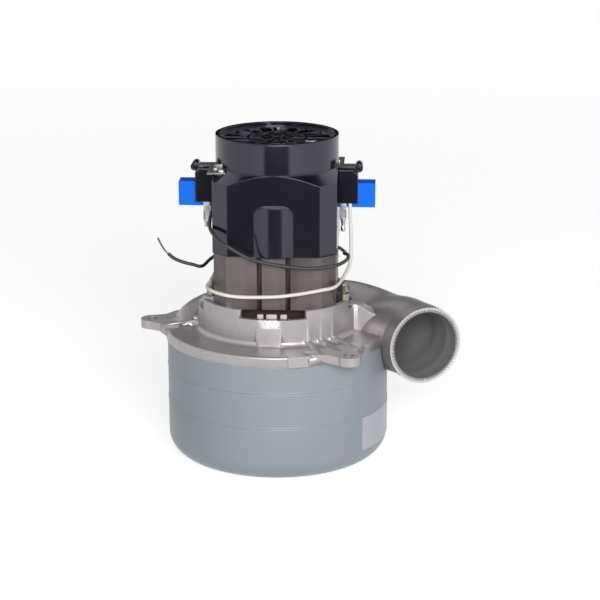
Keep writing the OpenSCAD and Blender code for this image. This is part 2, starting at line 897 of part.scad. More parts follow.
module lower_bearing_clip() {
  color(bright_steel)
    difference() {
      ring(low_bearing_d / 2 + 0.9, low_bearing_d / 2 - 1.8, low_bearing_top + seat, clip_ring_t);
      span([0, -3, low_bearing_top], [low_bearing_d, 3, hub_top]);
    }
}

// A felt ring in the shaft hole under the lower bearing
module shaft_seal() {
  color([0.8, 0.77, 0.7])
    ring(shaft_r + 3.5 - seat, spacer_r + 0.4, bracket_z + 0.5, 3);
}

// Field

module field_outline() {
  difference() {
    polygon(chamfered(core_half, core_w - core_chamfer));
    difference() {
      polygon(chamfered(yoke_in, 2 * yoke_in - 4.5));
      for (side = [-1, 1])
        translate([-pole_half, side < 0 ? -yoke_in - past : armature_r])
          square([2 * pole_half, yoke_in + past - armature_r]);
      intersection() {
        circle(shoe_r);
        union() {
          sector(-90 - shoe_angle, -90 + shoe_angle, core_w);
          sector(90 - shoe_angle, 90 + shoe_angle, core_w);
        }
      }
    }
    circle(core_bore_r);
    for (x = [-1, 1])
      for (y = [-1, 1])
        translate([x * field_screw_xy, y * field_screw_xy]) circle(field_screw_r + 2 * seat);
    for (x = [-11.5, 11.5])
      for (y = [-1, 1])
        translate([x - 2, y * (core_half - 0.5) - 1.5]) square([4, 3]);
  }
}

module field_core() {
  color(lamination)
    translate([0, 0, core_bottom]) linear_extrude(core_h) field_outline();
}

// A frame round one pole, from y = from to y = to
module pole_frame(side, inner, outer_x, below, from, to) {
  y = side < 0 ? -to : from;
  translate([0, y, 0])
    difference() {
      span([-outer_x, 0, core_bottom - below], [outer_x, to - from, core_top + below]);
      span([-inner, -past, core_bottom - below + (outer_x - inner)], [inner, to - from + past, core_top + below - (outer_x - inner)]);
    }
}

coil_below = coil_out - coil_in + bobbin_t + coil_play;

module coil(side) {
  color(copper) pole_frame(side, coil_in, coil_out, coil_below, coil_front + bobbin_t, coil_back - bobbin_t);
}

module front_coil() {
  coil(-1);
}

module back_coil() {
  coil(1);
}

// White moulded frames between the coils, the poles and the yoke
module coil_bobbins() {
  tube_y = [coil_front, coil_back];
  for (side = [-1, 1])
    color(ivory) {
      pole_frame(side, coil_in - bobbin_t, coil_in - seat, bobbin_t + coil_play - seat, tube_y[0], tube_y[1]);
      pole_frame(side, coil_in - bobbin_t, coil_out, coil_below, tube_y[1] - bobbin_t + seat, tube_y[1]);
    }
}

module field_screws() {
  head_z = core_top + field_post_h;
  color(bright_steel)
    screw_places() {
      disc(field_screw_r, core_bottom - field_screw_below, head_z - core_bottom + field_screw_below + 2 * seat);
      disc(field_head_r, head_z + seat, field_head_h);
    }
}

// Upper housing: a chamfered block under a round top, with the bearing plate between

module housing_outer() {
  intersection() {
    prism(block_half, block_sum, housing_z, rim_z - housing_z);
    rotate_extrude()
      polygon([
        [0, housing_z], [block_w, housing_z], [block_w, shoulder_top - shoulder_slope * (block_w - top_r)],
        [top_r, shoulder_top], [top_r, rim_z], [0, rim_z]
      ]);
  }
}

// A bulge on the front face, rounded in plan, with round upper corners and a sloping top
module arched_bump() {
  r = (bump_w * bump_w / 4 + bump_t * bump_t) / (2 * bump_t);
  corner = bump_w / 4;
  top = housing_z + bump_h;
  difference() {
    intersection() {
      translate([0, -block_half - bump_t + r, 0]) disc(r, housing_z, bump_h);
      translate([0, -block_half + housing_t / 2, 0])
        rotate([90, 0, 0])
          linear_extrude(2 * bump_t + housing_t) {
            translate([-bump_w / 2, housing_z]) square([bump_w, bump_h - corner]);
            translate([corner - bump_w / 2, top - corner - seat]) square([bump_w - 2 * corner, corner + seat]);
            for (side = [-1, 1])
              translate([side * (bump_w / 2 - corner), top - corner]) circle(corner);
          }
    }
    translate([-bump_w, -block_half, top])
      rotate([-50, 0, 0]) translate([0, -4 * bump_t, 0]) cube([2 * bump_w, 4 * bump_t, 2 * bump_t]);
  }
}

module upper_housing() {
  port_w = holder_wide + 2 * holder_play;
  port_h = holder_tall + 2 * holder_play;
  inner_half = block_half - housing_t;
  inner_sum = block_sum - housing_t * sqrt(2);
  color(gloss_black)
    difference() {
      union() {
        housing_outer();
        arched_bump();
        for (side = [-1, 1])
          translate([side * clip_screw_x, clip_screw_y(side), 0])
            disc(3.5, shoulder_top - 10, clip_z - seat - shoulder_top + 10);
      }
      // Lower space, round the commutator and brushes
      difference() {
        union() {
          prism(inner_half, inner_sum, housing_z - past, cavity_top - housing_z + past);
          disc(top_r - housing_t, housing_z, plate_z - housing_z);
        }
        screw_places() disc(post_r, housing_z - past, field_post_h - seat + past);
        for (a = [45, 135, 225, 315])
          rotate([0, 0, a])
            span([field_screw_xy * sqrt(2), -2.5, housing_z - past], [block_w, 2.5, housing_z + field_post_h - seat]);
        disc(14.5, plate_z - 6, 12);
      }
      // Upper space, round the cooling fan, with the seat of the vent cover
      difference() {
        disc(cover_r - 1.7, plate_z + plate_t, rim_z);
        disc(14.5, plate_z, top_bearing_top + 1.5 - plate_z);
      }
      disc(cover_r + seat, cover_z - seat, rim_z);
      // Air windows in the bearing plate
      intersection() {
        ring(cover_r - 5, 19, plate_z - past, plate_t + 2 * past);
        translate([0, 0, plate_z - past])
          linear_extrude(plate_t + 2 * past)
            for (k = [0:5]) sector(k * 60 + 8, k * 60 + 52, top_r);
      }
      disc(top_bearing_r + seat, top_bearing_z - seat, rim_z);
      disc(top_shaft_r + 3.2, plate_z - 10, rim_z);
      screw_places() disc(field_screw_r + 2 * seat, housing_z - past, 20);
      for (side = [-1, 1]) {
        span([side > 0 ? inner_half - past : -block_half - past, -port_w / 2, brush_z - port_h / 2],
             [side > 0 ? block_half + past : -inner_half + past, port_w / 2, brush_z + port_h / 2]);
        mirrored(side)
          span([clip_screw_x - tab_half - 0.3, clip_screw_y(side) - tab_half - 0.3, clip_z - seat],
               [clamp_start + 6, clip_screw_y(side) + tab_half + 0.3, clip_z + 6]);
        translate([side * clip_screw_x, clip_screw_y(side), 0])
          disc(clip_screw_r + seat, clip_z - clip_screw_len - 2, 2 * clip_screw_len);
      }
    }
}

module vent_cover() {
  color(gloss_black)
    translate([0, 0, cover_z])
      linear_extrude(cover_t)
        difference() {
          union() {
            difference() {
              circle(cover_r);
              circle(cover_r - 4);
            }
            difference() {
              circle(25);
              circle(22.5);
            }
            circle(13);
            for (k = [0:cover_ribs - 1])
              rotate(k * 360 / cover_ribs) translate([11, -0.7]) square([cover_r - 13, 1.4]);
          }
          circle(4.5);
          for (k = [0:5])
            rotate(k * 60) translate([8.5, 0]) circle(1.8);
        }
}

// Brush gear, drawn for the right-hand side and mirrored for the left

module box_tube(x_start, x_end, wide, tall, t) {
  difference() {
    span([x_start, -wide / 2, brush_z - tall / 2], [x_end, wide / 2, brush_z + tall / 2]);
    span([x_start - past, -wide / 2 + t, brush_z - tall / 2 + t], [x_end + past, wide / 2 - t, brush_z + tall / 2 - t]);
  }
}

sleeve_wide = brush_wide + 2 * sleeve_play + 2 * sleeve_t;
sleeve_tall = brush_tall + 2 * sleeve_play + 2 * sleeve_t;
sleeve_end = holder_reach - holder_end_t - seat;
spring_start = commutator_r + brush_gap + brush_len + seat;
spring_end = sleeve_end - sleeve_t - seat;

module brush_holder(side) {
  color(brush_blue)
    mirrored(side)
      difference() {
        span([holder_start, -holder_wide / 2, brush_z - holder_tall / 2],
             [holder_reach, holder_wide / 2, brush_z + holder_tall / 2]);
        span([holder_start - past, -sleeve_wide / 2 - seat, brush_z - sleeve_tall / 2 - seat],
             [holder_reach - holder_end_t, sleeve_wide / 2 + seat, brush_z + sleeve_tall / 2 + seat]);
      }
}

module brush_sleeve(side) {
  color("goldenrod")
    mirrored(side) {
      box_tube(sleeve_start, sleeve_end, sleeve_wide, sleeve_tall, sleeve_t);
      span([sleeve_end - sleeve_t, -sleeve_wide / 2, brush_z - sleeve_tall / 2],
           [sleeve_end, sleeve_wide / 2, brush_z + sleeve_tall / 2]);
    }
}

module carbon_brush(side) {
  color([0.2, 0.2, 0.2])
    mirrored(side)
      difference() {
        span([commutator_r - 1, -brush_wide / 2, brush_z - brush_tall / 2],
             [commutator_r + brush_gap + brush_len, brush_wide / 2, brush_z + brush_tall / 2]);
        disc(commutator_r + brush_gap, brush_z - brush_tall, 2 * brush_tall);
      }
}

module brush_spring(side) {
  color(bright_steel)
    mirrored(side)
      translate([spring_start, 0, brush_z])
        rotate([0, 90, 0])
          difference() {
            cylinder(r = spring_r, h = spring_end - spring_start);
            translate([0, 0, -past]) cylinder(r = spring_r - spring_t, h = spring_end - spring_start + 2 * past);
          }
}

module brush_clamp(side) {
  slot_w = terminal_w + 1;
  slot_t = terminal_t + 0.4;
  color(gloss_black)
    mirrored(side)
      difference() {
        span([clamp_start, -clamp_half, clamp_bottom], [clamp_reach, clamp_half, clamp_top]);
        span([clamp_start - past, -holder_wide / 2 - holder_play, brush_z - holder_tall / 2 - holder_play],
             [clamp_reach + past, holder_wide / 2 + holder_play, brush_z + holder_tall / 2 + holder_play]);
        span([terminal_x(side) - slot_w / 2, terminal_y - slot_t / 2, clamp_bottom - past],
             [terminal_x(side) + slot_w / 2, terminal_y + slot_t / 2, terminal_top + seat]);
        translate([curl_x, clamp_half + past, curl_z])
          rotate([90, 0, 0]) cylinder(r = curl_r + 0.3, h = 2 * clamp_half + 2 * past);
      }
}

// A strap across the clamp with a curled end, and a tab that is screwed to the shoulder
module brush_clip(side) {
  strap_half = 8;
  color(gloss_black)
    mirrored(side) {
      difference() {
        union() {
          span([clamp_start + 0.3, -strap_half, clip_z], [clamp_reach, strap_half, clip_z + clip_t]);
          span([clamp_start + 0.3, side < 0 ? -clip_screw_away - tab_half : strap_half, clip_z],
               [clamp_start + 4, side < 0 ? -strap_half : clip_screw_away + tab_half, clip_z + clip_t]);
          span([clip_screw_x - tab_half, clip_screw_y(side) - tab_half, clip_z],
               [clamp_start + 4, clip_screw_y(side) + tab_half, clip_z + clip_t]);
        }
        translate([clip_screw_x, clip_screw_y(side), 0]) disc(clip_screw_r + 0.2, clip_z - past, clip_t + 2 * past);
      }
      translate([curl_x, strap_half, curl_z])
        rotate([90, 0, 0])
          difference() {
            cylinder(r = curl_r, h = 2 * strap_half);
            translate([0, 0, -past]) cylinder(r = curl_r - clip_t, h = 2 * strap_half + 2 * past);
          }
    }
}

module clip_screws() {
  color(bright_steel)
    for (side = [-1, 1])
      translate([side * clip_screw_x, clip_screw_y(side), 0]) {
        disc(clip_screw_r, clip_z - clip_screw_len, clip_screw_len + clip_t + 2 * seat);
        disc(clip_head_r, clip_z + clip_t + seat, clip_head_h);
      }
}

module terminal(side) {
  x = terminal_x(side);
  bottom = terminal_bottom(side);
  color(bright_steel)
    mirrored(side) {
      span([x - terminal_w / 2, terminal_y - terminal_t / 2, bottom],
           [x + terminal_w / 2, terminal_y + terminal_t / 2, terminal_top]);
      translate([x, terminal_y, bottom - crimp_len(side)]) cylinder(r = crimp_r, h = crimp_len(side) + 1);
    }
}

module left_brush_holder() {
  brush_holder(-1);
}

module right_brush_holder() {
  brush_holder(1);
}

module left_brush_sleeve() {
  brush_sleeve(-1);
}

module right_brush_sleeve() {
  brush_sleeve(1);
}

module left_brush_clamp() {
  brush_clamp(-1);
}

module right_brush_clamp() {
  brush_clamp(1);
}

module left_brush_clip() {
  brush_clip(-1);
}

module right_brush_clip() {
  brush_clip(1);
}

module left_terminal() {
  terminal(-1);
}

module right_terminal() {
  terminal(1);
}

module left_brush() {
  carbon_brush(-1);
}

module right_brush() {
  carbon_brush(1);
}

module left_brush_spring() {
  brush_spring(-1);
}

module right_brush_spring() {
  brush_spring(1);
}

// Studs and nuts beside the stack

washer_t = 1.2;
washer_r = 6.2;

module bracket_studs() {
  color(bright_steel)
    stud_places() disc(stud_d / 2, stud_foot + seat, boss_top + stud_above - stud_foot);
}

module stud_washers() {
  color(bright_steel)
    stud_places() ring(washer_r, stud_d / 2 + 0.2, boss_top + seat, washer_t);
}

module stud_nuts() {
  color(bright_steel)
    stud_places()
      difference() {
        rotate([0, 0, 30]) translate([0, 0, boss_top + washer_t + 2 * seat]) cylinder(r = nut_af / sqrt(3), h = nut_h, $fn = 6);
        disc(stud_d / 2 + seat, boss_top, nut_h * 2);
      }
}

// Rotor

nut_height = 7;
nut_z = disc_z(0) - 2 * seat - hub_washer_t - nut_height;
shaft_end = nut_z - 2;
step_z = low_bearing_z + 1.5;

module shaft() {
  color(bright_steel) {
    disc(fan_shaft_r, shaft_end, step_z - shaft_end + seat);
    disc(shaft_r, step_z, plate_z - 7 - step_z);
    disc(shaft_r + 1.8, low_bearing_top + seat, core_bottom - head_h - 3 - low_bearing_top);
    disc(top_shaft_r + 1.5, plate_z - 7, top_bearing_z - seat - plate_z + 7);
    disc(top_shaft_r, plate_z - 7, fan_top - plate_z + 7);
  }
}

module armature_core() {
  color(lamination)
    translate([0, 0, core_bottom + 0.3])
      linear_extrude(core_h - 0.6)
        difference() {
          circle(armature_r);
          circle(shaft_r + seat);
          for (k = [0:armature_slots - 1])
            rotate(k * 360 / armature_slots) translate([armature_r - 9, -1.9]) square([9 + past, 3.8]);
        }
}

module armature_winding() {
  head_out = armature_r - 2;
  head_in = shaft_r + 2.2;
  color(copper) {
    for (z = [core_bottom - head_h - 0.5, core_top + 0.5])
      translate([0, 0, z])
        rotate_extrude()
          polygon([
            [head_in, 2], [head_in + 3, 0], [head_out - 3, 0], [head_out, 3],
            [head_out, head_h - 3], [head_out - 3, head_h], [head_in + 3, head_h], [head_in, head_h - 2]
          ]);
    for (k = [0:armature_slots - 1])
      rotate([0, 0, k * 360 / armature_slots])
        span([armature_r - 8.8, -1.7, core_bottom - 2], [armature_r - 3, 1.7, core_top + 2]);
  }
}

module commutator_hub() {
  color([0.35, 0.2, 0.12])
    ring(commutator_r - 4.6, shaft_r + seat, commutator_z, commutator_h);
}

module commutator_bars() {
  color(copper)
    difference() {
      ring(commutator_r, commutator_r - 4.5, commutator_z, commutator_h - 1);
      for (k = [0:bar_count - 1])
        rotate([0, 0, (k + 0.5) * 360 / bar_count])
          span([commutator_r - 6, -0.3, commutator_z - past], [commutator_r + past, 0.3, commutator_z + commutator_h]);
    }
}

module cooling_fan() {
  color([0.16, 0.16, 0.17])
    difference() {
      union() {
        disc(fan_r, fan_z, 1.6);
        disc(10, fan_z, fan_top - fan_z - 1);
        translate([0, 0, fan_z])
          linear_extrude(fan_top - fan_z - 1)
            for (k = [0:cooling_blades - 1])
              rotate(k * 360 / cooling_blades) blade(16, fan_r, -22, 1.6);
      }
      disc(top_shaft_r + seat, fan_z - past, rim_z);
    }
}

module shaft_spacers() {
  starts = [for (i = [0:2]) disc_z(i) + impeller_t + hub_washer_t + 2 * seat];
  ends = [disc_z(1) - hub_washer_t - 2 * seat, disc_z(2) - hub_washer_t - 2 * seat, low_bearing_z - seat];
  color(bright_steel)
    for (i = [0:2]) ring(spacer_r, fan_shaft_r + seat, starts[i], ends[i] - starts[i]);
}

module hub_washers() {
  color(bright_steel)
    for (i = [0:2]) {
      ring(hub_washer_d / 2, fan_shaft_r + seat, disc_z(i) - hub_washer_t - seat, hub_washer_t);
      ring(hub_washer_d / 2, fan_shaft_r + seat, disc_z(i) + impeller_t + seat, hub_washer_t);
    }
}

module shaft_nut() {
  color(bright_steel)
    difference() {
      translate([0, 0, nut_z]) cylinder(r = 19 / sqrt(3), h = nut_height, $fn = 6);
      disc(fan_shaft_r + seat, nut_z - past, nut_height + 2 * past);
    }
}

// Leads: round tubes swept along routes that pass through hand-chosen points

// Route of the black lead, from the left clamp round the front, behind the stack and out at the left
black_route = [
  [-52.6, -10.1, clamp_bottom - seat], [-52.6, -10.1, 209], [-52.6, -10.1, 206], [-53, -14, 203],
  [-53.2, -22, 200.5], [-51, -41, 197], [-43, -55, 191.5], [-34, -59.5, 187], [-23.5, -59, 180.5], [-12.5, -58.5, 176], [7.5, -57.5, 172],
  [30, -56.5, 170], [50, -53, 172], [58.6, -37, 173], [58, -18, 172], [55, 4, 167], [54, 30, 162],
  [42, 55, 160], [0, 58, 158], [-42, 54, 157], [-56, 26, 156.5], [-62, -3, 156.5],
  [-70, -4, 158], [-78, -4.3, 160], [-85.2, -4.5, 163.2], [-90, -4.7, 167.2]
];
// Route of the white lead, from the right clamp down, round the front and behind the stack
white_route = [
  [59.8, -10.1, clamp_bottom - seat], [59.8, -10.1, 209], [59.8, -10.1, 205], [60.8, -9, 181],
  [60.2, -11, 164], [56, -24, 156], [49.5, -44.5, 152.2], [38, -56, 152], [21.5, -57, 149], [5.5, -58, 147],
  [-10.3, -58.5, 146.3], [-26, -59.3, 146.5], [-38, -59.5, 148], [-49.5, -53, 149.5], [-54, -42, 150],
  [-52.6, -24, 150.5], [-51.6, 0, 151], [-51.8, 26, 151], [-50.6, 40, 150.8], [-43, 51, 150.5],
  [-14, 56.5, 147], [14, 58, 146], [38, 55, 146]
];
lead_sides = 8;
route_steps = 2;

function unit(v) = v / norm(v);
function tangent(p, i) = unit(p[min(i + 1, len(p) - 1)] - p[max(i - 1, 0)]);
function across(t, u) = unit(u - (u * t) * t);
function frames(p, i, u) =
  i == len(p) ? [] : let (v = across(tangent(p, i), u)) concat([v], frames(p, i + 1, v));

module tube_along(p, r) {
  us = frames(p, 0, across(tangent(p, 0), [1, 0.1, 0.2]));
  loft([
    for (i = [0:len(p) - 1])
      let (t = tangent(p, i), v = us[i], w = cross(t, v))
      [for (k = [0:lead_sides - 1]) p[i] + r * (cos(k * 360 / lead_sides) * v + sin(k * 360 / lead_sides) * w)]
  ]);
}

module black_lead() {
  color([0.12, 0.12, 0.12]) tube_along(smooth_route(black_route, route_steps), lead_d / 2);
}

module white_lead() {
  color(ivory) tube_along(smooth_route(white_route, route_steps), lead_d / 2);
}

module strand(route) {
  smooth = smooth_route(route, route_steps);
  n = len(smooth) - 1;
  way = unit(smooth[n] - smooth[n - 1]);
  start = smooth[n] + way * seat;
  tube_along([start, start + way * strand_len / 2, start + way * strand_len], strand_d / 2);
}

module lead_strands() {
  color(copper) {
    strand(black_route);
    strand(white_route);
  }
}

inlet_shell();
middle_shell();
top_shell();
case_label();
lower_stationary_fan();
upper_stationary_fan();
motor_bracket();
shaft_seal();
lower_outer_race();
lower_bearing_clip();
field_core();
front_coil();
back_coil();
coil_bobbins();
field_screws();
upper_housing();
vent_cover();
upper_outer_race();
left_brush_holder();
right_brush_holder();
left_brush_sleeve();
right_brush_sleeve();
left_brush_clamp();
right_brush_clamp();
left_brush_clip();
right_brush_clip();
clip_screws();
left_terminal();
right_terminal();
bracket_studs();
stud_nuts();
stud_washers();
black_lead();
white_lead();
lead_strands();
shaft();
armature_core();
armature_winding();
commutator_hub();
commutator_bars();
cooling_fan();
lower_impeller();
middle_impeller();
upper_impeller();
shaft_spacers();
hub_washers();
shaft_nut();
lower_inner_race();
upper_inner_race();
lower_bearing_cage();
lower_bearing_balls();
upper_bearing_cage();
upper_bearing_balls();
left_brush();
right_brush();
left_brush_spring();
right_brush_spring();
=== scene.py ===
"""Looks of a three-stage vacuum motor unit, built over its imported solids.

The frame is the part's own: the origin is the centre of the inlet eye, +Z runs up the shaft and +X
passes through the right-hand brush. Sizes in the classes are millimetres. Meshes are scaled to metres
when they become pieces.
"""

import logging
import math
from collections.abc import Callable, Iterable, Sequence
from dataclasses import dataclass, field
from enum import Enum

import bmesh
import bpy
from mathutils import Matrix, Vector

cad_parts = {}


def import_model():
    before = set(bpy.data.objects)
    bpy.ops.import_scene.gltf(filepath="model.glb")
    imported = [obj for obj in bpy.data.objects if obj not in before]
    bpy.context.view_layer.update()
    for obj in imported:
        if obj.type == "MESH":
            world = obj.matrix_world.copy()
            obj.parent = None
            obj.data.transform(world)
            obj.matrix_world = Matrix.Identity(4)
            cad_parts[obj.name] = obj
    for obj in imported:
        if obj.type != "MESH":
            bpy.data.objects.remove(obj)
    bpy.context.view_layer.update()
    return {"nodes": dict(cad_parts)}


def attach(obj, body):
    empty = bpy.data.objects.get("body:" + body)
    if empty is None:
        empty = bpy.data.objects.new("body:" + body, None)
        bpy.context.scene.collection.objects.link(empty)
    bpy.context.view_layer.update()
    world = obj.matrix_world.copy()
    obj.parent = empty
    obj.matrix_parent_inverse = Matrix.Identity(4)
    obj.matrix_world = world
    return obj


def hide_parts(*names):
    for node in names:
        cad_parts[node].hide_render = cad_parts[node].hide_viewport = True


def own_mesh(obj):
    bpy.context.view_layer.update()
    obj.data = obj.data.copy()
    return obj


MM = 0.001
ROUND_STEPS = 144  # steps in a large turned surface
FLAT_TURN = 0.5  # faces that turn by fewer degrees are merged before edges are rounded
SHARP_TURN = 32.0  # edges that turn by more degrees are rounded
log = logging.getLogger("motor_unit")

Point = Sequence[float]
Route = Sequence[Point]
Tree = bpy.types.NodeTree
Socket = bpy.types.NodeSocket
BMesh = bmesh.types.BMesh
LAID_OVER = Matrix.Rotation(math.radians(90), 4, "X")


# Colours and nodes


def linear(colour: str) -> tuple[float, float, float, float]:
    """Turn an sRGB hex colour to linear values.

    Args:
        colour: Six hex digits after a hash sign.

    Returns:
        Red, green, blue and an alpha of 1, linear.
    """
    parts = [int(colour[i : i + 2], 16) / 255 for i in (1, 3, 5)]
    red, green, blue = [c / 12.92 if c <= 0.04045 else ((c + 0.055) / 1.055) ** 2.4 for c in parts]
    return (red, green, blue, 1.0)


def emptied(owner: bpy.types.Material | bpy.types.World) -> Tree:
    """Switch a material or a world to nodes, and clear them.

    Args:
        owner: The material or world.

    Returns:
        Its empty tree.
    """
    owner.use_nodes = True
    owner.node_tree.nodes.clear()
    return owner.node_tree


def add(
    tree: Tree, kind: str, inputs: dict | None = None, out: str | int = 0, **settings: object
) -> Socket | None:
    """Add one node with its settings and links.

    Args:
        tree: The tree that gets the node.
        kind: The node's type name, without "ShaderNode" before it.
        inputs: Values or source sockets, by the name or number of the socket that takes them.
        out: Name or number of the output that is wanted.
        settings: The node's own settings.

    Returns:
        That output, or None if the node has no outputs.
    """
    made = tree.nodes.new(f"ShaderNode{kind}")
    for name, value in settings.items():
        setattr(made, name, value)
    for key, value in (inputs or {}).items():
        if isinstance(value, Socket):
            tree.links.new(value, made.inputs[key])
        else:
            made.inputs[key].default_value = value
    return made.outputs[out] if len(made.outputs) else None


def wave_scale(pitch: float) -> float:
    """Give the scale at which a wave texture repeats at a pitch in mm."""
    waves = 20 / math.tau  # drawn in one metre at a scale of 1
    return 1 / (pitch * MM) / waves


@dataclass(frozen=True)
class Finish:
    """A surface: two tones mottled by noise, a roughness that varies, and a fine relief.

    Attributes:
        name: The material's own name.
        tone: Main colour.
        second: Colour of the mottling.
        mottle: Size of the mottling, in mm.
        grain: Size of the relief, in mm.
        relief: Depth of the relief, in mm.
        rough: Lowest and highest roughness.
        metallic: 1 for bare metal, 0 for paint, plastic and the like.
        coat: Weight of a clear coat.
        coat_rough: Roughness of the clear coat.
        ior: Index of refraction of a surface that isn't metal.
        edge: Radius of the light's turn at sharp edges, in mm.
        gloss: Specular level; 0.5 is what the index of refraction gives.
        tint: Colour of the highlights of a surface that isn't metal.
    """

    name: str
    tone: str
    second: str
    mottle: float = 20.0
    grain: float = 0.8
    relief: float = 0.02
    rough: tuple[float, float] = (0.35, 0.45)
    metallic: float = 0.0
    coat: float = 0.0
    coat_rough: float = 0.1
    ior: float = 1.5
    edge: float = 0.0
    gloss: float = 0.5
    tint: str = "#FFFFFF"

    def pattern(self, tree: Tree, place: Socket) -> Socket:
        """Give how much of the second tone shows at each point, from 0 to 1."""
        noise = {"Vector": place, "Scale": 1 / (self.mottle * MM), "Detail": 5.0, "Roughness": 0.6}
        return add(tree, "TexNoise", noise, "Fac")

    def height(self, tree: Tree, place: Socket) -> Socket:
        """Give the height of the relief at each point, from 0 to 1."""
        noise = {"Vector": place, "Scale": 1 / (self.grain * MM), "Detail": 3.0}
        return add(tree, "TexNoise", noise, "Fac")

    def build(self) -> bpy.types.Material:
        """Make the material, or find it if it was made before.

        Returns:
            The material.
        """
        if self.name in bpy.data.materials:
            return bpy.data.materials[self.name]
        material = bpy.data.materials.new(self.name)
        tree = emptied(material)
        place = add(tree, "TexCoord", out="Object")
        share = self.pattern(tree, place)
        tones = {0: share, 6: linear(self.tone), 7: linear(self.second)}
        low, high = self.rough
        rough = {"Value": share, "From Min": 0.25, "From Max": 0.75, "To Min": low, "To Max": high}
        bump = {"Height": self.height(tree, place), "Strength": 1.0, "Distance": self.relief * MM}
        if self.edge:
            bump["Normal"] = add(tree, "Bevel", {"Radius": self.edge * MM}, samples=4)
        surface = {
            "Base Color": add(tree, "Mix", tones, 2, data_type="RGBA"),
            "Roughness": add(tree, "MapRange", rough),
            "Normal": add(tree, "Bump", bump),
            "Metallic": self.metallic,
            "IOR": self.ior,
            "Specular IOR Level": self.gloss,
            "Specular Tint": linear(self.tint),
            "Coat Weight": self.coat,
            "Coat Roughness": self.coat_rough,
        }
        add(tree, "OutputMaterial", {"Surface": add(tree, "BsdfPrincipled", surface)})
        return material


@dataclass(frozen=True)
class Layered(Finish):
    """A finish with level lines across Z, as in a stack of thin sheets.

    Attributes:
        pitch: Height of one line and its gap, in mm.
        streak: Stretch of the mottling down the stack, as a share of its scale.
    """

    pitch: float = 1.6
    streak: float = 0.07

    def height(self, tree: Tree, place: Socket) -> Socket:
        """Use level lines as the relief, one to each pitch."""
        lines = {"Vector": place, "Scale": wave_scale(self.pitch), "Distortion": 0.6, "Detail": 1.0}
        return add(tree, "TexWave", lines, "Fac", bands_direction="Z")

    def pattern(self, tree: Tree, place: Socket) -> Socket:
        """Mix streaks that run down the stack with the lines.

        Args:
            tree: The material's tree.
            place: Object coordinates.

        Returns:
            A socket from 0 to 1.
        """
        drawn = add(tree, "Mapping", {"Vector": place, "Scale": (1.0, 1.0, self.streak)})
        streaks = super().pattern(tree, drawn)
        return add(tree, "Mix", {0: 0.18, 2: streaks, 3: self.height(tree, place)}, data_type="FLOAT")


@dataclass(frozen=True)
class Turned(Finish):
    """A machined finish with the rings that a lathe tool leaves round the shaft's axis.

    Attributes:
        pitch: Spacing of the rings, in mm.
    """

    pitch: float = 0.9

    def height(self, tree: Tree, place: Socket) -> Socket:
        """Use the rings as the relief."""
        rings = {"Vector": place, "Scale": wave_scale(self.pitch), "Distortion": 0.2}
        return add(tree, "TexWave", rings, "Fac", wave_type="RINGS", rings_direction="Z")


@dataclass(frozen=True)
class Banded(Finish):
    """A finish that darkens inside one band of height, as a brush track does.

    Attributes:
        low: Lower edge of the band, in mm.
        high: Upper edge of the band, in mm.
    """

    low: float = 0.0
    high: float = 1.0

    def pattern(self, tree: Tree, place: Socket) -> Socket:
        """Give the band with a soft edge, broken up by the mottling.

        Args:
            tree: The material's tree.
            place: Object coordinates.

        Returns:
            A socket from 0 to 1.
        """
        height = add(tree, "SeparateXYZ", {"Vector": place}, "Z")
        away = add(tree, "Math", {0: height, 1: (self.low + self.high) / 2 * MM}, operation="SUBTRACT")
        size = add(tree, "Math", {0: away}, operation="ABSOLUTE")
        half = (self.high - self.low) / 2 * MM
        fade = {"Value": size, "From Min": half, "From Max": half * 0.8, "To Min": 0.1, "To Max": 0.9}
        inside = add(tree, "MapRange", fade)
        return add(tree, "Mix", {0: 0.2, 2: inside, 3: super().pattern(tree, place)}, data_type="FLOAT")


# Enamelled steel, sprayed and stoved: satin blue-grey with the faint orange peel of a sprayed coat
CASE_ENAMEL = Finish(
    "case_enamel", "#959EA5", "#8C969D", 45, 1.6, 0.008, (0.36, 0.46), coat=0.12, coat_rough=0.3
)
# Sand-cast aluminium, as cast: a dull grey with a grain of about half a millimetre; its slight pink cast is
# painted reflection
CAST_ALUMINIUM = Finish(
    "cast_aluminium", "#B4AFB1", "#A09B9D", 5, 0.8, 0.03, (0.36, 0.48), metallic=0.8, edge=0.5
)
# The same aluminium inside the horn: rougher where the core left it, with a darker grey tone that is painted
# shade inside the horn
BORE_ALUMINIUM_PAINTED_SHADE = Finish("cored_aluminium", "#989797", "#858484", 6, 0.9, 0.04, (0.5, 0.62), metallic=0.35)
# The same aluminium where a cutter has passed: brighter and smooth
MILLED_ALUMINIUM = Finish(
    "milled_aluminium", "#CCC8C9", "#C0BCBD", 14, 0.6, 0.002, (0.38, 0.46), metallic=0.5
)
# Varnished electrical steel: brown-grey sheets of 0.5 mm, two to each drawn line so that the lines show
STACK_STEEL = Layered(
    "varnished_electrical_steel", "#756A69", "#4F4747", 9, 0.5, 0.05, (0.36, 0.5), metallic=0.4, pitch=1.0
)
# Painted shade on the walls of the stack's grooves: a brown that is nearly black, half gloss
GROOVE_PAINTED_SHADE = Finish("pooled_varnish", "#241A17", "#17100E", 4, 1.0, 0.02, (0.3, 0.45))
# Phenolic moulding, glossy from a polished tool: nearly black with a violet cast
BLACK_PHENOLIC = Finish(
    "black_phenolic", "#110F16", "#15131B", 30, 3.0, 0.006, (0.14, 0.2),
    ior=1.6, edge=1.2, gloss=0.56, tint="#E9E4FF",
)
# Blue nylon moulding: strong colour, half gloss, slightly darker in the flow marks
BLUE_NYLON = Finish("blue_nylon", "#0A7AFC", "#056CEC", 9, 1.2, 0.02, (0.3, 0.4), ior=1.53, gloss=0.2)
# Ground bearing steel: bright and smooth with a faint lay
BEARING_STEEL = Turned(
    "ground_bearing_steel", "#C6C7C9", "#A9ABAE", 6, 0.6, 0.004, (0.14, 0.24), metallic=1.0
)
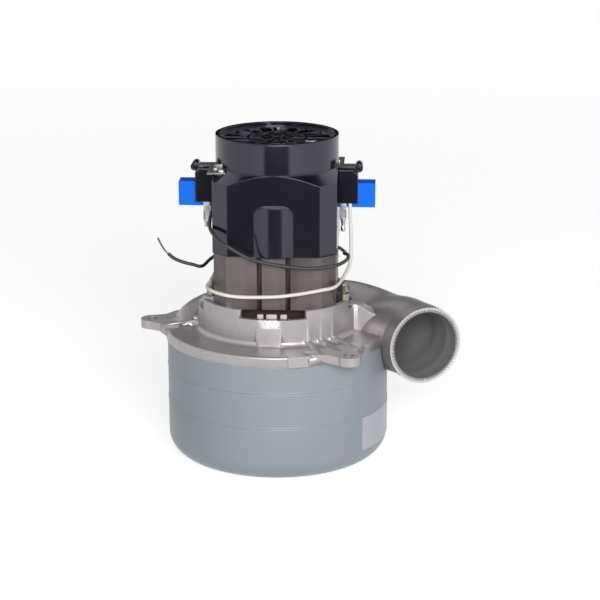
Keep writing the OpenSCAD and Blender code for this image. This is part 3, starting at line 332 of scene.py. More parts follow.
# Zinc-plated steel with a yellow-green passivation film
ZINC_STEEL = Finish("zinc_plated_steel", "#A9AB9B", "#7B7E6D", 3, 0.4, 0.01, (0.26, 0.4), metallic=0.85)
# Tinned terminal steel: soft bright grey
TINNED_STEEL = Finish("tinned_steel", "#C9C9CC", "#A6A6AA", 2.5, 0.4, 0.01, (0.24, 0.38), metallic=0.9)
# Spring steel of a clip's tab: a darker grey with a rolled grain
SPRING_STEEL = Finish("rolled_spring_steel", "#8E8E88", "#6F6F6A", 2.5, 0.4, 0.01, (0.3, 0.42), metallic=0.85)
# Rolled aluminium sheet: light, with faint drawing lines
SHEET_ALUMINIUM = Finish(
    "rolled_aluminium_sheet", "#C3C5C8", "#AEB1B5", 25, 0.5, 0.01, (0.26, 0.4), metallic=0.95
)
# Enamelled copper wire: copper under a clear amber enamel
MAGNET_WIRE = Finish(
    "enamelled_copper_wire", "#A85A2C", "#7F3E1C", 3, 0.5, 0.01, (0.22, 0.34), metallic=0.8, coat=0.6
)
# Hard-drawn copper bars, turned, with the dark film that the brushes leave
BAR_COPPER = Banded(
    "commutator_copper", "#B87548", "#5B3A2A", 3, 0.3, 0.01, (0.22, 0.36), metallic=0.95, low=212, high=225
)
# Drawn brass tube
DRAWN_BRASS = Finish("drawn_brass", "#B5924C", "#94763A", 6, 0.4, 0.008, (0.24, 0.36), metallic=0.95)
# Electrographite: black, dull, with an open grain
ELECTROGRAPHITE = Finish("electrographite", "#2B2B2D", "#1B1B1C", 1.2, 0.25, 0.03, (0.55, 0.75))
# Brown phenolic of the commutator's hub
BROWN_PHENOLIC = Finish("brown_phenolic", "#4A2D20", "#38211A", 4, 0.8, 0.01, (0.3, 0.42))
# White glass-filled nylon of the coil formers' lugs
WHITE_NYLON = Finish("glass_filled_nylon", "#EFEBE0", "#DED8CA", 6, 0.8, 0.015, (0.4, 0.5), ior=1.53)
# Coil formers, dull and brown-black: the dark tone is painted shade of the gap between the stack and the
# bracket
FORMER_PAINTED_SHADE = Finish("coil_former_board", "#2C211B", "#201713", 4, 0.6, 0.03, (0.55, 0.7))
# Dark glass-filled moulding of the cooling fan
FAN_NYLON = Finish("dark_fan_nylon", "#1C1C1F", "#151517", 9, 0.9, 0.02, (0.36, 0.48), ior=1.53)
# Pressed wool felt
WOOL_FELT = Finish("pressed_wool_felt", "#C9C2B1", "#A89F8C", 1.5, 0.5, 0.15, (0.85, 0.95))
# Blank polyester label with a satin white face
POLYESTER_LABEL = Finish("satin_polyester_label", "#BEC0C8", "#B1B3BB", 12, 4.0, 0.01, (0.3, 0.42))
# Black silicone-rubber sleeving: matt, a little dusty
BLACK_SLEEVING = Finish("black_silicone_sleeving", "#262727", "#353636", 5, 0.5, 0.02, (0.42, 0.58))
# Ivory silicone-rubber sleeving
IVORY_SLEEVING = Finish("ivory_silicone_sleeving", "#F4EEE6", "#E6DED2", 5, 0.5, 0.02, (0.42, 0.55))
# Bare tinned copper strands
TINNED_STRAND = Finish(
    "tinned_copper_strand", "#8E8172", "#6B5F52", 0.8, 0.2, 0.01, (0.3, 0.44), metallic=0.9
)


class Body(Enum):
    """The bodies that pieces ride on."""

    STATOR = "stator"
    ROTOR = "rotor"
    LEFT_BRUSH = "left_brush_body"
    RIGHT_BRUSH = "right_brush_body"


class Side(Enum):
    """The two sides of the brush gear, as the sign of X."""

    LEFT = -1
    RIGHT = 1

    @property
    def word(self) -> str:
        """The side's name in node names."""
        return self.name.lower()


# Meshes


def matched(made: BMesh) -> BMesh:
    """Merge doubles and point the faces outwards.

    Args:
        made: A closed mesh.

    Returns:
        The same mesh.
    """
    bmesh.ops.remove_doubles(made, verts=made.verts, dist=1e-4)
    bmesh.ops.recalc_face_normals(made, faces=made.faces)
    return made


def merged(made: BMesh) -> BMesh:
    """Merge the triangles that lie in one flat face.

    Args:
        made: A closed mesh.

    Returns:
        The same mesh.
    """
    limit = math.radians(FLAT_TURN)
    bmesh.ops.dissolve_limit(made, angle_limit=limit, verts=made.verts, edges=made.edges)
    return made


def rounded(made: BMesh, offset: float, angle: float = 30.0, segments: int = 2) -> BMesh:
    """Round the edges that turn by more than an angle.

    Args:
        made: The mesh, in any unit.
        offset: Width of the rounding in the mesh's unit.
        angle: Smallest turn of an edge that is rounded, in degrees.
        segments: Faces across the rounding.

    Returns:
        The same mesh.
    """
    limit = math.radians(angle)
    edges = [e for e in made.edges if len(e.link_faces) == 2 and e.calc_face_angle(0.0) > limit]
    shape = {"segments": segments, "profile": 0.5, "clamp_overlap": True, "material": -1}
    bmesh.ops.bevel(made, geom=edges, offset=offset, offset_type="OFFSET", affect="EDGES", **shape)
    return made


def spun(outline: Route, steps: int, closed: bool = False) -> BMesh:
    """Spin an outline of (radius, height) points once round Z.

    Args:
        outline: The points, in mm. One at radius 0 closes on the axis.
        steps: Steps in the turn.
        closed: Whether the last point joins the first.

    Returns:
        The mesh.
    """
    made = bmesh.new()
    verts = [made.verts.new((r, 0.0, z)) for r, z in outline]
    pairs = list(zip(verts, verts[1:] + verts[:1]))
    edges = [made.edges.new(pair) for pair in (pairs if closed else pairs[:-1])]
    whole = {"angle": math.tau, "steps": steps, "use_merge": True}
    bmesh.ops.spin(made, geom=[*verts, *edges], axis=(0, 0, 1), cent=(0, 0, 0), **whole)
    return matched(made)


def block(low: Point, high: Point, offset: float) -> BMesh:
    """Make a box between two corners, with rounded edges.

    Args:
        low: Lowest corner, in mm.
        high: Highest corner, in mm.
        offset: Width of the rounding, in mm.

    Returns:
        The mesh.
    """
    made = bmesh.new()
    size = Vector(high) - Vector(low)
    place = Matrix.Translation(Vector(low) + size / 2) @ Matrix.Diagonal((*size, 1))
    bmesh.ops.create_cube(made, size=1.0, matrix=place)
    return rounded(made, offset)


def joined(meshes: Iterable[BMesh]) -> BMesh:
    """Put several meshes into one, and free them.

    Args:
        meshes: The meshes.

    Returns:
        One mesh that holds them all.
    """
    whole = bmesh.new()
    for part in meshes:
        scratch = bpy.data.meshes.new("scratch")
        part.to_mesh(scratch)
        part.free()
        whole.from_mesh(scratch)
        bpy.data.meshes.remove(scratch)
    return whole


def moved(made: BMesh, matrix: Matrix) -> BMesh:
    """Move a mesh and keep its faces pointing outwards.

    Args:
        made: The mesh.
        matrix: The move.

    Returns:
        The same mesh.
    """
    bmesh.ops.transform(made, matrix=matrix, verts=made.verts)
    if matrix.to_3x3().determinant() < 0:
        bmesh.ops.reverse_faces(made, faces=made.faces)
    return made


def placed(name: str, data: bpy.types.ID) -> bpy.types.Object:
    """Make an object and link it to the scene.

    Args:
        name: Its name.
        data: Its mesh, curve, light or camera.

    Returns:
        The object.
    """
    made = bpy.data.objects.new(name, data)
    bpy.context.scene.collection.objects.link(made)
    return made


def strung(
    name: str, routes: Iterable[Route], radius: float, fine: int, closed: bool = False
) -> bpy.types.Object:
    """String round wires along routes as one curve.

    Args:
        name: Name of the curve and its object.
        routes: One list of points for each wire.
        radius: Radius of a wire, in the unit of the routes.
        fine: Half the faces round a wire, less two.
        closed: Whether each wire is a closed loop.

    Returns:
        The object.
    """
    curve = bpy.data.curves.new(name, "CURVE")
    curve.dimensions = "3D"
    curve.bevel_depth = radius
    curve.bevel_resolution = fine
    curve.use_fill_caps = not closed
    for route in routes:
        spline = curve.splines.new("POLY")
        spline.points.add(len(route) - 1)
        for point, place in zip(spline.points, route):
            point.co = (*place, 1.0)
        spline.use_cyclic_u = closed
    return placed(name, curve)


def wires(routes: Iterable[Route], radius: float, closed: bool = False) -> BMesh:
    """Make the mesh of round wires along routes.

    Args:
        routes: One list of points for each wire, in mm.
        radius: Radius of a wire, in mm.
        closed: Whether each wire is a closed loop.

    Returns:
        The mesh.
    """
    holder = strung("wires", routes, radius, 1, closed)
    curve = holder.data
    bpy.context.view_layer.update()
    mesh = bpy.data.meshes.new_from_object(holder)
    made = bmesh.new()
    made.from_mesh(mesh)
    bpy.data.objects.remove(holder)
    bpy.data.curves.remove(curve)
    bpy.data.meshes.remove(mesh)
    return matched(made)


def smooth_route(points: Route, steps: int) -> list[Vector]:
    """Run a smooth curve through points of any number of values.

    Args:
        points: The points that the curve passes through.
        steps: Steps between two of them.

    Returns:
        Points along the curve.
    """
    knots = [Vector(p) for p in points]
    knots = [2 * knots[0] - knots[1], *knots, 2 * knots[-1] - knots[-2]]
    route = []
    for a, b, c, d in zip(knots, knots[1:], knots[2:], knots[3:]):
        for k in range(steps):
            t = k / steps
            bend = 2 * b + (c - a) * t + (2 * a - 5 * b + 4 * c - d) * t * t + (3 * b - a - 3 * c + d) * t**3
            route.append(bend / 2)
    return [*route, knots[-2]]


def pan_screw(place: Point, low: float, seat: float, radius: float) -> BMesh:
    """Make one upright pan-head screw with a recess in its head.

    Args:
        place: Where it stands, as (x, y) in mm.
        low: Height of its tip, in mm.
        seat: Height of the head's underside, in mm.
        radius: Radius of the head, in mm.

    Returns:
        The mesh.
    """
    shank, thread = radius * 0.6, 0.8
    profile = [(0.0, low), (shank * 0.7, low), (shank, low + 1.0)]
    height = low + 1.6
    while height < seat - 2.0:
        profile += [(shank * 0.82, height), (shank, height + thread / 2)]
        height += thread
    head = [(1.0, 0.45), (0.8, 0.75), (0.3, 0.85), (0.28, 0.4), (0.0, 0.3)]  # shares of its radius
    profile += [(shank, seat), (radius, seat + 0.1), *((radius * r, seat + radius * z) for r, z in head)]
    return moved(spun(profile, 24), Matrix.Translation((*place, 0.0)))


@dataclass
class Unit:
    """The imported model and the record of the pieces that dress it.

    Attributes:
        nodes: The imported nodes' objects by name.
        dressed: Names of the nodes that have got a finish or a replacement.
    """

    nodes: dict[str, bpy.types.Object]
    dressed: set[str] = field(default_factory=set)

    def finish_node(self, finish: Finish, *names: str) -> None:
        """Give nodes that stay as they are their finish.

        Args:
            finish: The finish.
            names: The nodes.
        """
        for name in names:
            mesh = self.nodes[name].data
            mesh.materials.clear()
            mesh.materials.append(finish.build())
            self.dressed.add(name)
            log.info("node %s: %s", name, finish.name)

    def copy(self, name: str) -> BMesh:
        """Copy a node's mesh with its loose triangles merged.

        Args:
            name: The node.

        Returns:
            The copy, in mm.
        """
        made = bmesh.new()
        made.from_mesh(self.nodes[name].data)
        bmesh.ops.scale(made, vec=(1 / MM,) * 3, verts=made.verts)
        bmesh.ops.remove_doubles(made, verts=made.verts, dist=2e-4)
        return made

    def add(
        self,
        name: str,
        made: BMesh,
        finish: Finish | Sequence[Finish],
        slot: str,
        body: Body = Body.STATOR,
        replaces: Sequence[str] = (),
        sharp: float = 35.0,
        flat: bool = False,
    ) -> bpy.types.Object:
        """Turn a mesh in mm into a dressed piece that rides on a body.

        Args:
            name: The piece's name.
            made: The mesh, which is freed.
            finish: Its finish, or one for each material index.
            slot: Not used.
            body: The body that it rides on.
            replaces: The nodes that it stands for.
            sharp: Smallest turn that stays a sharp edge, in degrees.
            flat: Whether its large faces are shaded flat up to their rounded edges.

        Returns:
            The piece.
        """
        bmesh.ops.scale(made, vec=(MM,) * 3, verts=made.verts)
        mesh = bpy.data.meshes.new(name)
        made.to_mesh(mesh)
        made.free()
        for one in [finish] if isinstance(finish, Finish) else finish:
            mesh.materials.append(one.build())
        mesh.shade_smooth()
        mesh.set_sharp_from_angle(angle=math.radians(sharp))
        piece = placed(name, mesh)
        if flat:
            piece.modifiers.new("even_shading", "WEIGHTED_NORMAL").keep_sharp = True
        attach(piece, body.value)
        if replaces:
            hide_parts(*replaces)
            self.dressed.update(replaces)
        log.info("piece %s: %d faces on %s", name, len(mesh.polygons), body.value)
        return piece

    def soften(
        self,
        finish: Finish,
        slot: str,
        offset: float,
        *names: str,
        body: Body = Body.STATOR,
        segments: int = 2,
    ) -> None:
        """Replace nodes with copies whose sharp edges are rounded, as a mould or press leaves them.

        Args:
            finish: The finish.
            slot: Passed on to add, which does not use it.
            offset: Width of the rounding, in mm.
            names: The nodes.
            body: The body that they ride on.
            segments: Faces across the rounding.
        """
        for name in names:
            made = rounded(merged(self.copy(name)), offset, SHARP_TURN, segments)
            self.add(f"{name}_moulded", made, finish, slot, body, [name], flat=True)


@dataclass
class Assembly:
    """A sub-assembly of the unit.

    Attributes:
        unit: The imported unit.
    """

    unit: Unit


@dataclass
class PhotoCamera:
    """The camera that took the photograph.

    Attributes:
        place: Where it stands, in mm.
        tilt: Turn about X from looking straight down, in degrees.
        turn: Turn about Z, in degrees.
        sensor: Width of its sensor, in mm.
        lens: Focal length, in mm.
    """

    place: Point = (97.3, -1502.2, 563.2)
    tilt: float = 73.85
    turn: float = 3.0
    sensor: float = 36.0
    lens: float = 113.36

    def build(self) -> None:
        """Make the camera and set it as the scene's."""
        data = bpy.data.cameras.new("photo_camera")
        data.sensor_width, data.lens = self.sensor, self.lens
        data.clip_start, data.clip_end = 0.05, 50.0
        camera = placed("photo_camera", data)
        camera.location = Vector(self.place) * MM
        camera.rotation_euler = (math.radians(self.tilt), 0.0, math.radians(self.turn))
        bpy.context.scene.camera = camera
        log.info("camera with a %.1f mm lens", self.lens)


@dataclass
class Studio:
    """A pale floor, a white surround, three soft boxes, and dark cards that only shiny surfaces show.

    Attributes:
        fill: Level of the even light on dull surfaces.
        key: Power of the soft box above the camera, in watts.
        left: Power of the left soft box, in watts.
        right: Power of the right soft box, in watts.
        aim: What the soft boxes point at, in metres.
        lift: White that the floor adds for the camera and in reflections, near the unit and far from it.
        lift_span: Distances between which that white changes, in metres.
        flare: Distance in front of the unit at which the front card keeps its width, in metres; it
            narrows towards the unit.
    """

    fill: float = 0.12
    key: float = 34.0
    left: float = 0.6
    right: float = 3.0
    aim: Point = (0.0, 0.0, 0.12)
    lift: tuple[float, float] = (0.7, 0.85)
    lift_span: tuple[float, float] = (0.3, 2.2)
    flare: float = 1.1

    def shown(self, tree: Tree) -> Socket:
        """Tell the rays that show the background from those that light the unit.

        Args:
            tree: The tree of the world or of the floor's material.

        Returns:
            A socket that is 1 for camera, glossy and transmission rays.
        """
        rays = add(tree, "LightPath").node.outputs
        seen = rays["Is Camera Ray"]
        for ray in ("Is Glossy Ray", "Is Transmission Ray"):
            seen = add(tree, "Math", {0: seen, 1: rays[ray]}, operation="MAXIMUM")
        return seen

    def world(self) -> None:
        """Make the surround white to the camera, metal and glass, and dimmer as a light."""
        world = bpy.data.worlds.new("studio")
        bpy.context.scene.world = world
        tree = emptied(world)
        level = add(tree, "MapRange", {"Value": self.shown(tree), "To Min": self.fill, "To Max": 1.0})
        light = add(tree, "Background", {"Color": linear("#FFFFFF"), "Strength": level})
        add(tree, "OutputWorld", {"Surface": light})

    def sheet(self, name: str, material: bpy.types.Material, size: Point, matrix: Matrix) -> bpy.types.Object:
        """Lay one flat sheet of the stage.

        Args:
            name: Its name.
            material: Its material.
            size: Its half width and half depth, in metres.
            matrix: Its place.

        Returns:
            The sheet.
        """
        made = bmesh.new()
        spread = matrix @ Matrix.Diagonal((*size, 1, 1))
        bmesh.ops.create_grid(made, x_segments=4, y_segments=4, size=1.0, matrix=spread)
        mesh = bpy.data.meshes.new(name)
        made.to_mesh(mesh)
        made.free()
        mesh.materials.append(material)
        laid = placed(name, mesh)
        return laid

    def floor(self) -> None:
        """Lay a pale floor that keeps the unit's shadow and lifts to white where it is seen."""
        material = bpy.data.materials.new("matt_white_paper")
        tree = emptied(material)
        place = add(tree, "TexCoord", out="Object")
        away = add(tree, "VectorMath", {0: place}, "Value", operation="LENGTH")
        (near, far), (low, high) = self.lift_span, self.lift
        rise = {"Value": away, "From Min": near, "From Max": far, "To Min": low, "To Max": high}
        white = add(tree, "MapRange", rise)
        paper = {
            "Base Color": linear("#E6E6E6"),
            "Roughness": 0.9,
            "Specular IOR Level": 0.1,
            "Emission Color": linear("#FFFFFF"),
            "Emission Strength": add(tree, "Math", {0: self.shown(tree), 1: white}, operation="MULTIPLY"),
        }
        add(tree, "OutputMaterial", {"Surface": add(tree, "BsdfPrincipled", paper)})
        self.sheet("studio_floor", material, (6.0, 6.0), Matrix.Translation((0, 0, -0.0005)))

    def cards(self) -> None:
        """Set dark cards before, behind and above the unit, so that gloss has something dark to show."""
        material = bpy.data.materials.new("matt_black_card")
        tree = emptied(material)
        board = {"Base Color": linear("#0C0C0E"), "Roughness": 0.9, "Specular IOR Level": 0.1}
        add(tree, "OutputMaterial", {"Surface": add(tree, "BsdfPrincipled", board)})
        cards = {  # half width and half depth, and the place, in metres
            "front_card": ((0.46, 0.53), Matrix.Translation((0.06, -1.1, 0.004))),
            "back_card": ((0.9, 0.55), Matrix.Translation((0.0, 2.0, 0.85)) @ LAID_OVER),
            "top_card": ((0.8, 0.6), Matrix.Translation((0.0, 0.55, 1.7))),
            "crest_card": ((0.11, 0.45), Matrix.Translation((0.06, -0.5, 1.7))),
        }
        laid = {name: self.sheet(name, material, size, matrix) for name, (size, matrix) in cards.items()}
        for card in laid.values():
            card.visible_camera = card.visible_diffuse = False
            card.visible_shadow = card.visible_transmission = False
        for vert in laid["front_card"].data.vertices:
            vert.co.x *= -vert.co.y / self.flare

    def lamp(self, name: str, place: Point, size: tuple[float, float], power: float) -> None:
        """Hang one soft box that points at the unit.

        Args:
            name: The lamp's name.
            place: Where it hangs, in metres.
            size: Width and height, in metres.
            power: Watts.
        """
        light = bpy.data.lights.new(name, "AREA")
        light.shape = "RECTANGLE"
        light.size, light.size_y = size
        light.energy = power
        box = placed(name, light)
        box.location = place
        box.rotation_euler = (Vector(self.aim) - Vector(place)).to_track_quat("-Z", "Y").to_euler()

    def build(self) -> None:
        """Make the whole studio."""
        self.world()
        self.floor()
        self.cards()
        self.lamp("key_soft_box", (0.28, -1.9, 0.9), (1.3, 0.75), self.key)
        self.lamp("left_soft_box", (-1.35, -0.45, 0.65), (1.8, 1.1), self.left)
        self.lamp("right_soft_box", (1.35, -0.45, 0.65), (1.8, 1.1), self.right)
        bpy.context.scene.view_settings.view_transform = "Standard"
        log.info("studio with three soft boxes")


@dataclass
class Leads(Assembly):
    """Two insulated leads that run round the stack and end in bare twisted strands.

    Attributes:
        radius: Outside radius of the insulation, in mm.
        strand_radius: Radius of one bare strand, in mm.
        strand_length: Length of the bare end, in mm.
        strands: Strands at each bare end.
        lay: Turns of a strand along the bare end.
        bundle: Radius of the bundle's middle line, and how much the tip fans out, in mm.
        curl: How far the bare end curls up, in mm.
        black: Route of the black lead, in mm.
        ivory: Route of the ivory lead, in mm.
    """

    radius: float = 1.45
    strand_radius: float = 0.3
    strand_length: float = 11.0
    strands: int = 6
    lay: float = 0.9
    bundle: tuple[float, float] = (0.48, 0.2)
    curl: float = 6.0
    black: Route = (
        (-52.6, -10.1, 212.75), (-52.6, -10.1, 209), (-52.6, -10.1, 206), (-53, -14, 203),
        (-53.2, -22, 200.5), (-51, -41, 197), (-43, -55, 191.5), (-34, -59.5, 187),
        (-23.5, -59, 180.5), (-12.5, -58.5, 176),
        (7.5, -57.5, 172), (30, -56.5, 170), (50, -53, 172), (58.6, -37, 173), (58, -18, 172), (55, 4, 167),
        (54, 30, 162), (42, 55, 160), (0, 58, 158), (-42, 54, 157), (-56, 26, 156.5), (-62, -3, 156.5),
        (-70, -4, 158), (-78, -4.3, 160), (-85.2, -4.5, 163.2), (-90, -4.7, 167.2),
    )
    ivory: Route = (
        (59.8, -10.1, 212.75), (59.8, -10.1, 209), (59.8, -10.1, 205), (60.8, -9, 181), (60.2, -11, 164),
        (56, -24, 156), (49.5, -44.5, 152.2), (38, -56, 152), (21.5, -57, 149), (5.5, -58, 147),
        (-10.3, -58.5, 146.3), (-26, -59.3, 146.5), (-38, -59.5, 148), (-49.5, -53, 149.5), (-54, -42, 150),
        (-52.6, -24, 150.5), (-51.6, 0, 151), (-51.8, 26, 151), (-50.6, 40, 150.8), (-43, 51, 150.5),
        (-14, 56.5, 147), (14, 58, 146), (38, 55, 146),
    )

    def bare_end(self, name: str, route: list[Vector]) -> bpy.types.Object:
        """Make the twisted strands at the end of a lead.

        Args:
            name: The piece's name.
            route: The lead's route, in mm.

        Returns:
            The piece.
        """
        way = (route[-1] - route[-2]).normalized()
        across = way.cross(Vector((0.2, 1.0, 0.1))).normalized()
        side = way.cross(across)
        radius, fan = self.bundle
        steps, fan_from = 14, 0.75
        paths = []
        for k in range(self.strands):
            path = []
            for t in (step / steps for step in range(steps + 1)):
                angle = math.tau * (k / self.strands + self.lay * t)
                spread = radius + fan * max(0.0, t - fan_from) / (1 - fan_from)
                reach = self.strand_length * t * (1 - 0.02 * (k % 3))
                spot = route[-1] + way * reach + Vector((0.0, 0.0, self.curl * t * t))
                path.append(spot + spread * (math.cos(angle) * across + math.sin(angle) * side))
            paths.append(path)
        return self.unit.add(name, wires(paths, self.strand_radius), TINNED_STRAND, "copper")

    def sleeve(self, name: str, points: Route, finish: Finish, slot: str, node: str) -> None:
        """Make one lead with its bare end.

        Args:
            name: The piece's name.
            points: The route, in mm.
            finish: The insulation.
            slot: Not used.
            node: The node that it replaces.
        """
        route = smooth_route(points, 6)
        piece = strung(name, [[place * MM for place in route]], self.radius * MM, 4)
        piece.data.materials.append(finish.build())
        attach(piece, Body.STATOR.value)
        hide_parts(node)
        end = self.bare_end(f"{name}_strands", route)
        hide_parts("lead_strands")
        self.unit.dressed.update({node, "lead_strands"})

    def build(self) -> None:
        """Make both leads."""
        self.sleeve("black_sleeved_lead", self.black, BLACK_SLEEVING, "black_sleeve", "black_lead")
        self.sleeve("ivory_sleeved_lead", self.ivory, IVORY_SLEEVING, "white_sleeve", "white_lead")


@dataclass
class FanCase(Assembly):
    """The three painted shells, the blank label and the fans inside.

    Attributes:
        radius: Outside radius, in mm.
        wall: Thickness of the drawn sheet, in mm.
        corner: Outside radius of the bottom corner, in mm.
        eye: Radius of the eyes, in mm.
        lip: Height of the lip round each eye, in mm.
        seams: Heights of the seams and of the case's top, in mm.
        nest: How far a shell nests into the one below, in mm.
        bead: How far the rolled bead stands out, in mm.
        roll: How far a shell's upper edge is rolled in, in mm.
        gap: Gap between a shell's upper edge and the seam, in mm.
    """

    radius: float = 91.5
    wall: float = 1.2
    corner: float = 18.0
    eye: float = 26.0
    lip: float = 5.5
    seams: Sequence[float] = (46.1, 75.3, 98.2)
    nest: float = 4.0
    bead: float = 0.34
    roll: float = 0.35
    gap: float = 0.05

    def eye_edge(self, base: float) -> list[Point]:
        """Give the outline of the lip round an eye, from the inside of the sheet to its underside.

        Args:
            base: Height of the sheet's underside, in mm.

        Returns:
            Points of (radius, height).
        """
        out, top = self.eye + self.wall, base + self.lip
        return [
            (out + 1.0, base + self.wall), (out, base + self.wall + 1.0), (out, top - 0.4), (out - 0.4, top),
            (self.eye + 0.4, top), (self.eye, top - 0.4), (self.eye, base + 0.5), (self.eye + 0.5, base),
        ]

    def top_edge(self, top: float) -> list[Point]:
        """Give the outline of a shell's upper edge, rolled in a little.

        Args:
            top: Its height, in mm.

        Returns:
            Points of (radius, height).
        """
        r = self.radius
        return [
            (r, top - 0.9), (r - 0.12, top - 0.4), (r - self.roll, top), (r - self.wall + 0.2, top),
            (r - self.wall, top - 0.3),
        ]

    def first_shell(self) -> BMesh:
        """Draw the shell with the inlet eye and the round bottom corner.

        Returns:
            The mesh.
        """
        middle = self.radius - self.corner
        turns = [math.radians(6 * k) for k in range(16)]
        outer, inner = (
            [(middle + r * math.sin(t), self.corner - r * math.cos(t)) for t in turns]
            for r in (self.corner, self.corner - self.wall)
        )
        outline = [*outer, *self.top_edge(self.seams[0] - self.gap), *reversed(inner), *self.eye_edge(0.0)]
        return spun(outline, ROUND_STEPS, closed=True)

    def nested_shell(self, seam: float, top: float) -> BMesh:
        """Draw a shell that nests into the one below, with a rolled bead above the seam.

        Args:
            seam: Height of the seam below, in mm.
            top: Height of its upper edge, in mm.

        Returns:
            The mesh.
        """
        r, t = self.radius, self.wall
        inner, base = r - t - 0.2, seam - self.nest
        outline = [
            (inner - 1.0, base), (inner, base + 1.0), (inner, seam), (r - 0.2, seam), (r + 0.1, seam + 0.12),
            (r + self.bead, seam + 0.5), (r + self.bead, seam + 0.9), (r + 0.15, seam + 1.3), (r, seam + 1.9),
            *self.top_edge(top),
            (r - t, seam + t), (inner - t, seam + t),
            (inner - t, base + t + 0.5), (inner - t - 0.5, base + t),
            *self.eye_edge(base),
        ]
        return spun(outline, ROUND_STEPS, closed=True)

    def build(self) -> None:
        """Dress the case and what turns in it."""
        low, middle, top = self.seams
        shells = {
            "inlet_shell": self.first_shell(),
            "middle_shell": self.nested_shell(low, middle - self.gap),
            "top_shell": self.nested_shell(middle, top),
        }
        for name, made in shells.items():
            self.unit.add(f"{name}_pressing", made, CASE_ENAMEL, "case_paint", replaces=[name], sharp=40.0)
        self.unit.finish_node(POLYESTER_LABEL, "case_label")
        self.unit.finish_node(SHEET_ALUMINIUM, "lower_stationary_fan", "upper_stationary_fan")
        self.unit.finish_node(SHEET_ALUMINIUM, "lower_impeller", "middle_impeller", "upper_impeller")
        self.unit.finish_node(BEARING_STEEL, "shaft_spacers", "hub_washers")
        self.unit.soften(ZINC_STEEL, "zinc_steel", 0.6, "shaft_nut", body=Body.ROTOR)


